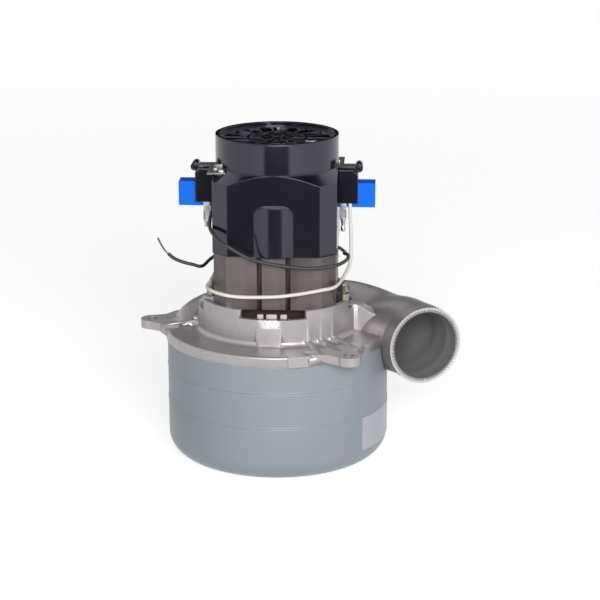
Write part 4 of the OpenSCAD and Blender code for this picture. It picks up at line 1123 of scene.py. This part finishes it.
@dataclass
class Bracket(Assembly):
    """The cast bracket with its scroll, horn and ears.

    Attributes:
        machined: Heights of the level faces that are machined, in mm.
        drum: Outside radius of the drum, in mm.
        case: Radius of the fan case, in mm.
        case_top: Height of the fan case, in mm.
        horn: Outside radius of the horn's mouth, in mm.
        step: Step in radius at the horn's cuff, in mm.
        sides: Number of points in a ring of the smooth sleeves.
        axis: Height of the horn's axis, in mm.
        offset: Distance of the horn's axis from the motor's axis, in mm.
        angle: Angle of the tangent point from +X, in degrees.
        wall: Thickness of the horn's wall, in mm.
        bore_from: Station from which the smooth bore is drawn.
        reach: Length from the tangent point to the mouth, in mm.
        cuff: Length of the cuff, in mm.
        swell: How far the horn swells towards the drum at its root, in mm.
        proud: How far the smooth skin stands off the solid's own flats, in mm.
        bore_proud: How far the smooth bore stands off the solid's flats in the cuff, in mm.
        bore_deep: The same deep inside, and how much it grows there from station to station, in mm.
        bore_back: Thickness of the smooth bore's sleeve, in mm.
        skin_room: How far the outer skin stays off the drum, the case's side and its top, in mm.
        bore_room: The same for the smooth bore.
        web_angle: Angle of the web beside the horn, in degrees.
        web_half: Half of its thickness, in mm.
        web_fall: Slope of its top in the solid.
        web_start: Distance and height where its top starts, its slope and that of the horn's side, in mm.
        web_deep: How far below that height the web is sloped, in mm.
    """

    machined: Sequence[float] = (135.5, 128.8, 126.0, 128.5, 132.95, 107.85)
    drum: float = 65.5
    case: float = 91.5
    case_top: float = 98.2
    horn: float = 31.75
    step: float = 0.5
    sides: int = 72
    axis: float = 100.3
    offset: float = 95.0
    angle: float = 26.3
    wall: float = 3.0
    bore_from: int = 30
    reach: float = 84.0
    cuff: float = 15.5
    swell: float = 5.0
    proud: float = 0.06
    bore_proud: float = 0.8
    bore_deep: tuple[float, float] = (1.5, 0.1)
    bore_back: float = 1.2
    skin_room: Point = (-2.0, 0.7, 0.5)
    bore_room: Point = (0.1, 3.8, 3.1)
    web_angle: float = -7.0
    web_half: float = 7.5
    web_fall: float = 0.083
    web_start: tuple[float, float, float, float] = (73.0, 127.3, 0.58, 0.56)
    web_deep: float = 12.0

    def on_horn(self, along: float, swell: float, sink: float) -> Point:
        """Give a station on the horn, swollen towards the drum and sunk at its top.

        Args:
            along: Distance from the tangent point, in mm.
            swell: Swelling, in mm.
            sink: Depth that its top is sunk, in mm.

        Returns:
            Angle, distance out, angle of the section, half width and half height.
        """
        out = self.offset - swell
        return (
            self.angle - math.degrees(math.atan2(along, out)), math.hypot(along, out), self.angle,
            self.horn - self.step + swell, self.horn - sink,
        )

    def stations(self) -> list[Vector]:
        """Give the stations along the scroll and the horn.

        Returns:
            The stations, smoothly filled in.
        """
        d, flange = self.drum, 8.7
        set_out = [
            (192, d + 9, 192, 7, flange - 3), (172, d + 12, 172, 12, flange + 4),
            (152, d + 13.5, 152, 13.5, flange + 8.5), (100, d + 13.5, 100, 13.5, flange + 14),
            (60, d + 13.5, 62, 13.5, self.horn - 5), (40, d + 14.5, 46, 17, self.horn - 2),
            (25, d + 18.5, 36, 24, self.horn - 2),
            (12, self.offset - self.swell, 29, self.horn + 1, self.horn - 3.5),
            self.on_horn(40, self.swell, 1.3), self.on_horn(51, 0.75 * self.swell, 0.7),
            self.on_horn(60, 0.35 * self.swell, self.step),
        ]
        straight = Vector(self.on_horn(self.reach - self.cuff + 1.0, 0.0, self.step))
        return [*smooth_route(set_out, 6), straight]

    def held_out(self, spots: list[Vector], least: Callable[[float], float]) -> list[Vector]:
        """Lay the stretches of a ring that would cut into the drum or the fan case along their surface.

        Args:
            spots: The ring's points in order.
            least: Gives the least distance from the motor's axis at a height.

        Returns:
            The ring's points, none of them inside.
        """
        count = len(spots)
        room = [spot.xy.length - least(spot.z) for spot in spots]
        held = [spot.copy() for spot in spots]
        for start in (k for k in range(count) if room[k] < 0.0 <= room[k - 1]):
            end = next(k for k in range(start, start + count) if room[k % count] >= 0.0)
            ends = []
            for out, inside in ((start - 1, start), (end % count, (end - 1) % count)):
                ends.append(spots[out].lerp(spots[inside], room[out] / (room[out] - room[inside])))
            for step in range(end - start):
                spot = ends[0].lerp(ends[1], step / max(end - start - 1, 1))
                spot.xy *= max(1.0, least(spot.z) / spot.xy.length)
                held[(start + step) % count] = spot
        return held

    def ring(self, station: Vector, inset: float, least: Callable[[float], float]) -> list[Vector]:
        """Give one oval ring of a sleeve.

        Args:
            station: Angle, distance out, angle of the section, half width and half height.
            inset: How much smaller it is, in mm.
            least: Gives the least distance from the motor's axis at a height.

        Returns:
            Its points.
        """
        angle, out, turn, wide, high = station
        place = Matrix.Rotation(math.radians(angle), 4, "Z") @ Matrix.Translation((out, 0, self.axis))
        place = place @ Matrix.Rotation(math.radians(turn - angle), 4, "Z") @ LAID_OVER
        turns = [math.tau * k / self.sides for k in range(self.sides)]
        oval = [Vector(((wide - inset) * math.cos(t), (high - inset) * math.sin(t), 0.0)) for t in turns]
        return self.held_out([place @ spot for spot in oval], least)

    def sleeve(
        self, stations: Sequence[Vector], walls: Sequence[Sequence[float]], room: Point
    ) -> BMesh:
        """Draw a closed sleeve along the horn, kept out of the drum and off the fan case.

        Args:
            stations: The stations that it follows.
            walls: Insets of its two walls at each station, in mm.
            room: How far it stays off the drum, the case's side and its top, in mm.

        Returns:
            The mesh.
        """
        drum, case, top = Vector(room) + Vector((self.drum, self.case, self.case_top))

        def least(height: float) -> float:
            """Give the least distance from the axis at a height."""
            return max(drum, case if height < top else 0.0)

        there, back = ([self.ring(*pair, least) for pair in zip(stations, wall)] for wall in walls)
        rings = [*there, *reversed(back)]
        made = bmesh.new()
        order = made.verts.layers.int.new("order")  # place of a point in its ring
        for vert in bmesh.ops.create_circle(made, segments=self.sides, radius=1.0)["verts"]:
            vert[order] = round(math.atan2(vert.co.y, vert.co.x) / math.tau * self.sides) % self.sides
            vert.co = rings[0][vert[order]]
        edges = list(made.edges)
        for ring in rings[1:] + rings[:1]:
            parts = bmesh.ops.extrude_edge_only(made, edges=edges)["geom"]
            fresh = {part for part in parts if isinstance(part, bmesh.types.BMVert)}
            drawn = (part for part in parts if isinstance(part, bmesh.types.BMEdge))
            edges = [edge for edge in drawn if fresh.issuperset(edge.verts)]
            for vert in fresh:
                vert.co = ring[vert[order]]
        made.verts.layers.int.remove(order)
        return matched(made)

    def skin(self) -> BMesh:
        """Draw the smooth outer skin of the scroll and horn.

        Returns:
            The mesh.
        """
        stations = self.stations()
        walls = [[inset] * len(stations) for inset in (-self.proud, 1.0)]
        return self.sleeve(stations, walls, self.skin_room)

    def bore(self) -> BMesh:
        """Draw the smooth bore, with the shallow step where the cuff's own bore starts.

        Returns:
            The mesh.
        """
        stations = self.stations()[self.bore_from : -1]
        deep, taper = self.bore_deep
        left = range(len(stations) - 1, -1, -1)
        walls = [self.wall + min(deep, self.bore_proud + taper * k) for k in left]
        cuff, end = self.reach - self.cuff, self.reach - 0.2
        thin = self.wall - self.step
        for along, wall in ((cuff - 1.0, self.wall), (cuff, self.wall), (cuff + 1.0, thin), (end, thin)):
            stations.append(Vector(self.on_horn(along, 0.0, self.step)))
            walls.append(wall + self.bore_proud)
        hidden = [wall - self.bore_back for wall in walls]
        return self.sleeve(stations, (walls, hidden), self.bore_room)

    def slope_web(self, made: BMesh) -> None:
        """Let the web between the right column and the horn run down into the horn's side.

        Args:
            made: The casting's mesh.
        """
        turn = Matrix.Rotation(math.radians(self.web_angle), 3, "Z")
        near, high, fall, rise = self.web_start
        for vert in made.verts:
            x, y, z = turn.transposed() @ vert.co
            in_web = near + 1.0 < x < self.offset + 3.0 and abs(y) < self.web_half + 0.05
            on_top = abs(z - high + self.web_fall * (x - near)) < 0.3
            on_side = abs(abs(y) - self.web_half) < 0.03
            along = (z - high + fall * (x - near)) / (fall + rise)
            if in_web and z > high - self.web_deep and along > 0.0 and (on_top or on_side):
                vert.co = turn @ Vector((x - along, y, z - rise * along))

    def build(self) -> None:
        """Dress the casting, with bright faces where a cutter has passed."""
        made = self.unit.copy("motor_bracket")
        self.slope_web(made)
        angle, facing = math.radians(self.angle), 0.99
        mouth = Vector((math.sin(angle), -math.cos(angle), 0.0))
        for face in made.faces:
            middle = face.calc_center_median()
            level = face.normal.z > facing and any(abs(middle.z - z) < 0.15 for z in self.machined)
            lip = face.normal.dot(mouth) > facing and abs(middle.dot(mouth) - self.reach) < 0.5
            face.material_index = int(level or lip)
        both, node = (CAST_ALUMINIUM, MILLED_ALUMINIUM), ["motor_bracket"]
        self.unit.add("bracket_casting", made, both, "cast_alloy", replaces=node, sharp=SHARP_TURN, flat=True)
        self.unit.add("horn_casting_skin", self.skin(), CAST_ALUMINIUM, "cast_alloy", sharp=60.0)
        # Inside the horn the aluminium's darker grey is painted shade.
        self.unit.add("horn_bore_skin", self.bore(), BORE_ALUMINIUM_PAINTED_SHADE, "cast_alloy", sharp=60.0)
        self.unit.finish_node(WOOL_FELT, "shaft_seal")
        self.unit.finish_node(BEARING_STEEL, "lower_outer_race", "lower_bearing_clip")


@dataclass
class Field(Assembly):
    """The laminated stack with its two wound coils and their formers.

    Attributes:
        bottom: Height of the stack's underside, in mm.
        top: Height of the stack's top, in mm.
        inner: Half width of a coil's opening, in mm.
        outer: Half width of a coil, in mm.
        front: Nearest face of a coil from the axis, in mm.
        back: Furthest face of a coil from the axis, in mm.
        wire: Diameter of the wire as drawn, in mm; the real 0.9 mm wire is too fine to show.
        groove_x: Least and greatest distance of a groove's walls from the axis along X, in mm.
        groove_y: The same along Y, in mm.
        lugs: Place along X and half width of each former lug, in mm.
        lug_out: Distance of the lugs from the axis along Y, and half their thickness, in mm.
        lug_drop: Distances of a lug's lower and upper end below the stack, in mm.
        screw_out: Distance of a field screw from the axis along X and Y, in mm.
    """

    bottom: float = 133.0
    top: float = 177.0
    inner: float = 19.6
    outer: float = 34.0
    front: float = 30.5
    back: float = 37.5
    wire: float = 1.4
    groove_x: tuple[float, float] = (9.3, 13.7)
    groove_y: tuple[float, float] = (46.5, 48.98)
    lugs: Route = ((-11.6, 2.6), (-2.4, 4.4), (7.4, 2.8))
    lug_out: tuple[float, float] = (39.7, 1.3)
    lug_drop: tuple[float, float] = (14.0, 6.4)
    screw_out: float = 39.0

    def turn(self, layer: int, across: float, side: float) -> list[Vector]:
        """Give one turn of wire round a pole.

        Args:
            layer: Number of the layer, from the pole outwards.
            across: Distance from the axis, in mm.
            side: Sign of Y.

        Returns:
            A closed route.
        """
        out = self.wire * (layer + 0.5)
        corner = 3.0 + out
        half_x = self.inner + out - corner
        half_z = (self.top - self.bottom) / 2 + 1.6 + out - corner
        middle = (self.top + self.bottom) / 2
        route = []
        for quarter, (sx, sz) in enumerate(((1, 1), (-1, 1), (-1, -1), (1, -1))):
            for k in range(6):
                angle = math.radians(90 * quarter + 18 * k)
                x, z = corner * math.cos(angle), corner * math.sin(angle)
                route.append(Vector((sx * half_x + x, side * across, middle + sz * half_z + z)))
        return route

    def coil(self, name: str, node: str, side: float) -> None:
        """Wind one field coil.

        Args:
            name: The piece's name.
            node: The node that it replaces.
            side: Sign of Y.
        """
        layers = int((self.outer - self.inner) / self.wire)
        rows = int((self.back - self.front) / self.wire)
        routes = []
        for layer in range(layers):  # every second one lies a quarter of a wire further back
            start = self.front + self.wire * (0.38 + 0.25 * (layer % 2))
            routes += [self.turn(layer, start + self.wire * row, side) for row in range(rows)]
        made = wires(routes, self.wire * 0.49, closed=True)
        self.unit.add(name, made, MAGNET_WIRE, "copper", replaces=[node], sharp=60.0)

    def build(self) -> None:
        """Dress the stack, wind the coils and set the screws."""
        stack = self.unit.copy("field_core")
        (near_x, far_x), (near_y, far_y) = self.groove_x, self.groove_y
        # The groove walls take the second finish, a near-black painted shade.
        for face in stack.faces:
            middle = face.calc_center_median()
            beside = near_x < abs(middle.x) < far_x and near_y < abs(middle.y) < far_y
            face.material_index = int(beside and abs(face.normal.z) < 0.5)
        both = (STACK_STEEL, GROOVE_PAINTED_SHADE)
        self.unit.add("field_stack", stack, both, "lamination", replaces=["field_core"])
        # The formers' brown-black tone is painted shade of the gap under the stack.
        self.unit.soften(FORMER_PAINTED_SHADE, "bobbin", 0.25, "coil_bobbins")
        (out, thick), (low, high) = self.lug_out, self.lug_drop
        lugs = [
            block((x - half, y - thick, self.bottom - low), (x + half, y + thick, self.bottom - high), 0.9)
            for y in (-out, out)
            for x, half in self.lugs
        ]
        self.unit.add("former_lugs", joined(lugs), WHITE_NYLON, "bobbin")
        self.coil("front_field_coil", "front_coil", -1.0)
        self.coil("back_field_coil", "back_coil", 1.0)
        far = (-self.screw_out, self.screw_out)
        low, seat = self.bottom - 18.0, self.top + 13.05
        screws = [pan_screw((x, y), low, seat, radius=3.2) for x in far for y in far]
        self.unit.add("field_pan_screws", joined(screws), ZINC_STEEL, "zinc_steel", replaces=["field_screws"])


@dataclass
class Housing(Assembly):
    """The glossy upper housing, its vent cover, clamps and clips.

    Attributes:
        top_side: Radius and foot of the smooth skin on the round top, in mm.
        top_edge: Points of (radius, height) over that skin's rounded edge, in mm.
        screw_at: Place of a clip screw on the right, as (x, y) in mm.
        bare_from: Distance from the middle from which a clip is bare steel, in mm.
        tab: Lowest and highest corner of the left clip's upright tab, in mm.
        roll: Radius and length of the roll beside the tab, in mm.
        roll_at: Where the roll starts, in mm.
        curl_out: Distance of a clip's curl from the motor's axis, in mm.
        curl_up: Height of the curl, in mm.
        plug: Radius and half length of the plug in the curl, in mm.
    """

    top_side: Point = (50.06, 243.4)
    top_edge: Route = ((50.06, 266.9), (50.06, 267.3), (49.87, 267.85), (49.35, 268.17), (48.8, 268.19))
    screw_at: Point = (42.5, 31.0)
    bare_from: float = 15.0
    tab: Route = ((-48.6, -26.8, 241.2), (-38.9, -26.0, 247.2))
    roll: tuple[float, float] = (2.1, 5.0)
    roll_at: Point = (-47.6, -26.0, 243.3)
    curl_out: float = 66.5
    curl_up: float = 241.1
    plug: tuple[float, float] = (2.08, 8.5)

    def pin(self, radius: float, low: float, high: float, steps: int, place: Point) -> BMesh:
        """Make a round pin with broken edges, laid along Y.

        Args:
            radius: Its radius, in mm.
            low: Where it starts before it is laid over, in mm.
            high: Where it ends, in mm.
            steps: Steps round it.
            place: Where its zero comes, in mm.

        Returns:
            The mesh.
        """
        edge = 0.4
        half = [(0.0, 0.0), (radius - edge, 0.0), (radius, edge)]
        outline = [*((r, low + z) for r, z in half), *((r, high - z) for r, z in reversed(half))]
        return moved(spun(outline, steps), Matrix.Translation(place) @ LAID_OVER)

    def clip(self, side: Side) -> None:
        """Dress one brush clip: a blackened strap that is bare spring steel beside its screw.

        Args:
            side: Which side it is on.
        """
        name = f"{side.word}_brush_clip"
        made = rounded(merged(self.unit.copy(name)), 0.25, SHARP_TURN)
        if side is Side.LEFT:
            radius, length = self.roll
            made = joined([made, block(*self.tab, 0.3), self.pin(radius, 0.0, length, 24, self.roll_at)])
        for face in made.faces:
            face.material_index = int(abs(face.calc_center_median().y) > self.bare_from)
        both = (BLACK_PHENOLIC, SPRING_STEEL)
        self.unit.add(f"{name}_strap", made, both, "black_moulding", replaces=[name])
        radius, half = self.plug
        plug = self.pin(radius, -half, half, 32, (side.value * self.curl_out, 0.0, self.curl_up))
        self.unit.add(f"{side.word}_curl_plug", plug, BLACK_PHENOLIC, "black_moulding")

    def build(self) -> None:
        """Dress the mouldings."""
        self.unit.soften(BLACK_PHENOLIC, "black_moulding", 0.8, "upper_housing", segments=3)
        inner_foot = (self.top_edge[-1][0], self.top_side[1])
        turned = spun([*self.top_edge, inner_foot, self.top_side], ROUND_STEPS, closed=True)
        self.unit.add("round_top_skin", turned, BLACK_PHENOLIC, "black_moulding")
        self.unit.soften(BLACK_PHENOLIC, "black_moulding", 0.3, "vent_cover")
        for side in Side:
            self.unit.soften(BLACK_PHENOLIC, "black_moulding", 0.8, f"{side.word}_brush_clamp", segments=3)
            self.clip(side)
        places = [[side.value * c for c in self.screw_at] for side in Side]
        screws = [pan_screw(place, low=232.5, seat=241.8, radius=2.9) for place in places]
        self.unit.add("clip_pan_screws", joined(screws), TINNED_STEEL, "zinc_steel", replaces=["clip_screws"])
        self.unit.finish_node(BEARING_STEEL, "upper_outer_race")


@dataclass
class BrushGear(Assembly):
    """Blue holders, brass sleeves, carbon brushes, springs and terminals.

    Attributes:
        axis: Height of the brush axis, in mm.
        spring_start: Where the spring meets the brush, in mm from the motor's axis.
        spring_end: Where the spring meets the sleeve's end, in mm.
        coil_radius: Radius of the spring at the middle of its wire, in mm.
        wire_radius: Radius of the spring's wire, in mm.
        turns: Turns of the spring.
        closed_end: Share of the spring's turns that lies flat at each end.
        travel: How far a brush slides outwards, in mm.
        tab_y: Place of the terminals along Y, in mm.
        tab_top: Height of their upper end, in mm.
        tab_half: Half of a tab's width and thickness, in mm.
        ear: Distance of a tab's rolled ears from its middle, and their radius, in mm.
        ear_span: Heights of an ear's ends above the tab's lower end, in mm.
        barrel: Radius of the crimped barrel and of its waist, in mm.
    """

    axis: float = 218.9
    spring_start: float = 46.35
    spring_end: float = 77.2
    coil_radius: float = 2.5
    wire_radius: float = 0.35
    turns: int = 11
    closed_end: float = 0.08
    travel: float = 8.0
    tab_y: float = -10.1
    tab_top: float = 217.8
    tab_half: tuple[float, float] = (2.6, 0.4)
    ear: tuple[float, float] = (2.1, 0.75)
    ear_span: tuple[float, float] = (2.0, 9.0)
    barrel: tuple[float, float] = (1.9, 1.55)

    def spring(self, side: Side) -> None:
        """Wind one brush spring, with closed ends.

        Args:
            side: Which side it is on.
        """
        length = self.spring_end - self.spring_start - 2 * self.wire_radius
        flat = 0.03  # share of the length in which the end turns rise
        points = []
        count = self.turns * 18
        for t in (k / count for k in range(count + 1)):
            open_turns = min(max((t - self.closed_end) / (1 - 2 * self.closed_end), 0.0), 1.0)
            along = self.spring_start + self.wire_radius + length * (flat * t + (1 - flat) * open_turns)
            angle = math.tau * self.turns * t
            y, z = self.coil_radius * math.cos(angle), self.coil_radius * math.sin(angle)
            points.append((side.value * along, y, self.axis + z))
        made = wires([points], self.wire_radius)
        name = f"{side.word}_spring_coil"
        piece = self.unit.add(name, made, BEARING_STEEL, "steel", replaces=[f"{side.word}_brush_spring"])
        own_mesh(piece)

    def terminal(self, side: Side, x: float, low: float, crimp: float) -> None:
        """Fold one tab terminal with its crimped barrel.

        Args:
            side: Which side it is on.
            x: Its distance from the motor's axis, in mm.
            low: Height of the tab's lower end, in mm.
            crimp: Length of the barrel, in mm.
        """
        y, (half, thick), (ear, roll_r) = self.tab_y, self.tab_half, self.ear
        plate = block((x - half, y - thick, low), (x + half, y + thick, self.tab_top), 0.2)
        foot, head = (low + height for height in self.ear_span)
        rolls = []
        for edge in (-ear, ear):
            roll = spun([(0.0, foot), (roll_r, foot), (roll_r, head), (0.0, head)], 16)
            rolls.append(moved(roll, Matrix.Translation((x + edge, y - 0.7, 0.0))))
        top, (r, waist) = low + 1.0, self.barrel
        foot = top - crimp - 1.0
        outline = [
            (0.0, foot), (r - 0.4, foot), (r, foot + 0.4), (r, top - crimp * 0.72),
            (waist, top - crimp * 0.64), (waist, top - crimp * 0.42), (r, top - crimp * 0.34), (r, top),
            (0.0, top),
        ]
        tube = moved(spun(outline, 24), Matrix.Translation((x, y, 0.0)))
        made = moved(joined([plate, *rolls, tube]), Matrix.Diagonal((side.value, 1.0, 1.0, 1.0)))
        name, node = f"{side.word}_tab_terminal", f"{side.word}_terminal"
        self.unit.add(name, made, TINNED_STEEL, "zinc_steel", replaces=[node])

    def build(self) -> None:
        """Dress both sides."""
        for side, body in ((Side.LEFT, Body.LEFT_BRUSH), (Side.RIGHT, Body.RIGHT_BRUSH)):
            self.unit.soften(BLUE_NYLON, "blue_moulding", 0.5, f"{side.word}_brush_holder", segments=3)
            self.unit.finish_node(DRAWN_BRASS, f"{side.word}_brush_sleeve")
            self.unit.soften(ELECTROGRAPHITE, "carbon", 0.3, f"{side.word}_brush", body=body)
            self.spring(side)
        self.terminal(Side.LEFT, x=57.0, low=196.0, crimp=4.0)
        self.terminal(Side.RIGHT, x=54.2, low=199.0, crimp=9.5)


@dataclass
class Studs(Assembly):
    """The two bracket studs with their washers and nuts.

    Attributes:
        places: Where they stand, as (x, y) in mm.
        low: Height of a stud's foot, in mm.
        high: Height of a stud's tip, in mm.
        radius: Radius over the thread, in mm.
        pitch: Pitch of the thread, in mm.
        threaded: Length of the thread, in mm.
    """

    places: Route = ((54.5, -7.0), (-54.5, 7.0))
    low: float = 108.3
    high: float = 144.5
    radius: float = 2.5
    pitch: float = 0.8
    threaded: float = 15.0

    def stud(self) -> BMesh:
        """Make one threaded stud on the Z axis.

        Returns:
            The mesh.
        """
        height = self.high - self.threaded
        profile = [(0.0, self.low), (self.radius, self.low), (self.radius, height)]
        while height < self.high - 1.4:
            profile += [(self.radius * 0.8, height + self.pitch / 2), (self.radius, height + self.pitch)]
            height += self.pitch
        profile += [(self.radius * 0.7, self.high), (0.0, self.high)]
        return spun(profile, 20)

    def build(self) -> None:
        """Make the studs, and dress the washers and nuts."""
        studs = [moved(self.stud(), Matrix.Translation((*place, 0.0))) for place in self.places]
        self.unit.add("threaded_studs", joined(studs), ZINC_STEEL, "zinc_steel", replaces=["bracket_studs"])
        self.unit.soften(ZINC_STEEL, "zinc_steel", 0.5, "stud_nuts")
        self.unit.soften(ZINC_STEEL, "zinc_steel", 0.2, "stud_washers")


@dataclass
class Rotor(Assembly):
    """Shaft, armature, commutator, cooling fan and bearings.

    Attributes:
        bottom: Height of the armature core's underside, in mm.
        top: Height of its top, in mm.
        head: Height of a winding head, in mm.
        radius: Outside radius of the armature, in mm.
        slots: Slots in the armature.
        reach: Slots that one coil spans.
        rows: Wires that cross over from each slot.
        rim: Depth of a row of crossing wires below the armature's radius, and its step, in mm.
        rise: Height of a row as a share of the head, and its step.
        dip: How far a row runs in at its middle, and its step, in mm.
        depths: Depths of the wires in a slot, in mm.
        wire: Radius of a wire as drawn, in mm; the real wire is finer.
    """

    bottom: float = 133.0
    top: float = 177.0
    head: float = 11.5
    radius: float = 28.0
    slots: int = 12
    reach: int = 5
    rows: int = 5
    rim: tuple[float, float] = (3.4, 1.5)
    rise: tuple[float, float] = (0.92, -0.13)
    dip: tuple[float, float] = (8.2, 1.1)
    depths: Sequence[float] = (3.8, 5.3, 6.8, 8.2)
    wire: float = 0.72

    def crossing(self, slot: int, row: int, base: float, way: float) -> list[Vector]:
        """Give one wire that crosses over an end of the core in an arch.

        Args:
            slot: Number of the slot where it starts.
            row: Number of the wire in that slot.
            base: Height where the head starts, in mm.
            way: 1 for the upper end, -1 for the lower.

        Returns:
            Its route.
        """
        start, sweep = (math.tau * count / self.slots for count in (slot, self.reach))
        rim = self.radius - self.rim[0] - self.rim[1] * (row % 3)
        rise = self.head * (self.rise[0] + self.rise[1] * row)
        dip = self.dip[0] + self.dip[1] * (row % 4)
        steps = 14
        route = []
        for t in (k / steps for k in range(steps + 1)):
            arch = max(math.sin(math.pi * t), 0.0)
            out, angle = rim - dip * arch, start + sweep * t
            height = base + way * rise * arch**0.55  # the power makes the arch's shoulders fuller
            route.append(Vector((out * math.cos(angle), out * math.sin(angle), height)))
        return route

    def slot_wires(self) -> list[list[Vector]]:
        """Give the straight wires in the slots.

        Returns:
            One route for each wire.
        """
        routes = []
        ends = [Vector((0, 0, self.bottom - 1.5)), Vector((0, 0, self.top + 1.5))]
        for angle in (math.tau * slot / self.slots for slot in range(self.slots)):
            out = Vector((math.cos(angle), math.sin(angle), 0))
            side = Vector((-math.sin(angle), math.cos(angle), 0))
            for depth in self.depths:
                for across in (-0.8, 0.8):
                    routes.append([out * (self.radius - depth) + side * across + end for end in ends])
        return routes

    def build(self) -> None:
        """Wind the armature and dress what turns."""
        self.unit.finish_node(BEARING_STEEL, "shaft", "lower_inner_race", "upper_inner_race")
        self.unit.finish_node(STACK_STEEL, "armature_core")
        heads = [
            self.crossing(slot, row, base, way)
            for base, way in ((self.bottom - 0.9, -1.0), (self.top + 0.9, 1.0))
            for slot in range(self.slots)
            for row in range(self.rows)
        ]
        made, node = wires([*heads, *self.slot_wires()], self.wire), ["armature_winding"]
        self.unit.add("armature_coils", made, MAGNET_WIRE, "copper", Body.ROTOR, node, sharp=60.0)
        self.unit.finish_node(BROWN_PHENOLIC, "commutator_hub")
        self.unit.finish_node(BAR_COPPER, "commutator_bars")
        self.unit.soften(FAN_NYLON, "fan_moulding", 0.3, "cooling_fan", body=Body.ROTOR)
        self.unit.finish_node(DRAWN_BRASS, "lower_bearing_cage", "upper_bearing_cage")
        self.unit.finish_node(BEARING_STEEL, "lower_bearing_balls", "upper_bearing_balls")


def main() -> None:
    """Build the scene piece by piece and report each one."""
    logging.basicConfig(level=logging.INFO, format="%(message)s")
    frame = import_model()
    unit = Unit(frame["nodes"])
    PhotoCamera().build()
    Leads(unit).build()
    Studio().build()
    for assembly in (FanCase, Bracket, Field, Housing, BrushGear, Studs, Rotor):
        assembly(unit).build()
    bare = sorted(set(unit.nodes) - unit.dressed)
    if bare:
        log.warning("nodes without a finish: %s", bare)


if __name__ == "__main__":
    main()
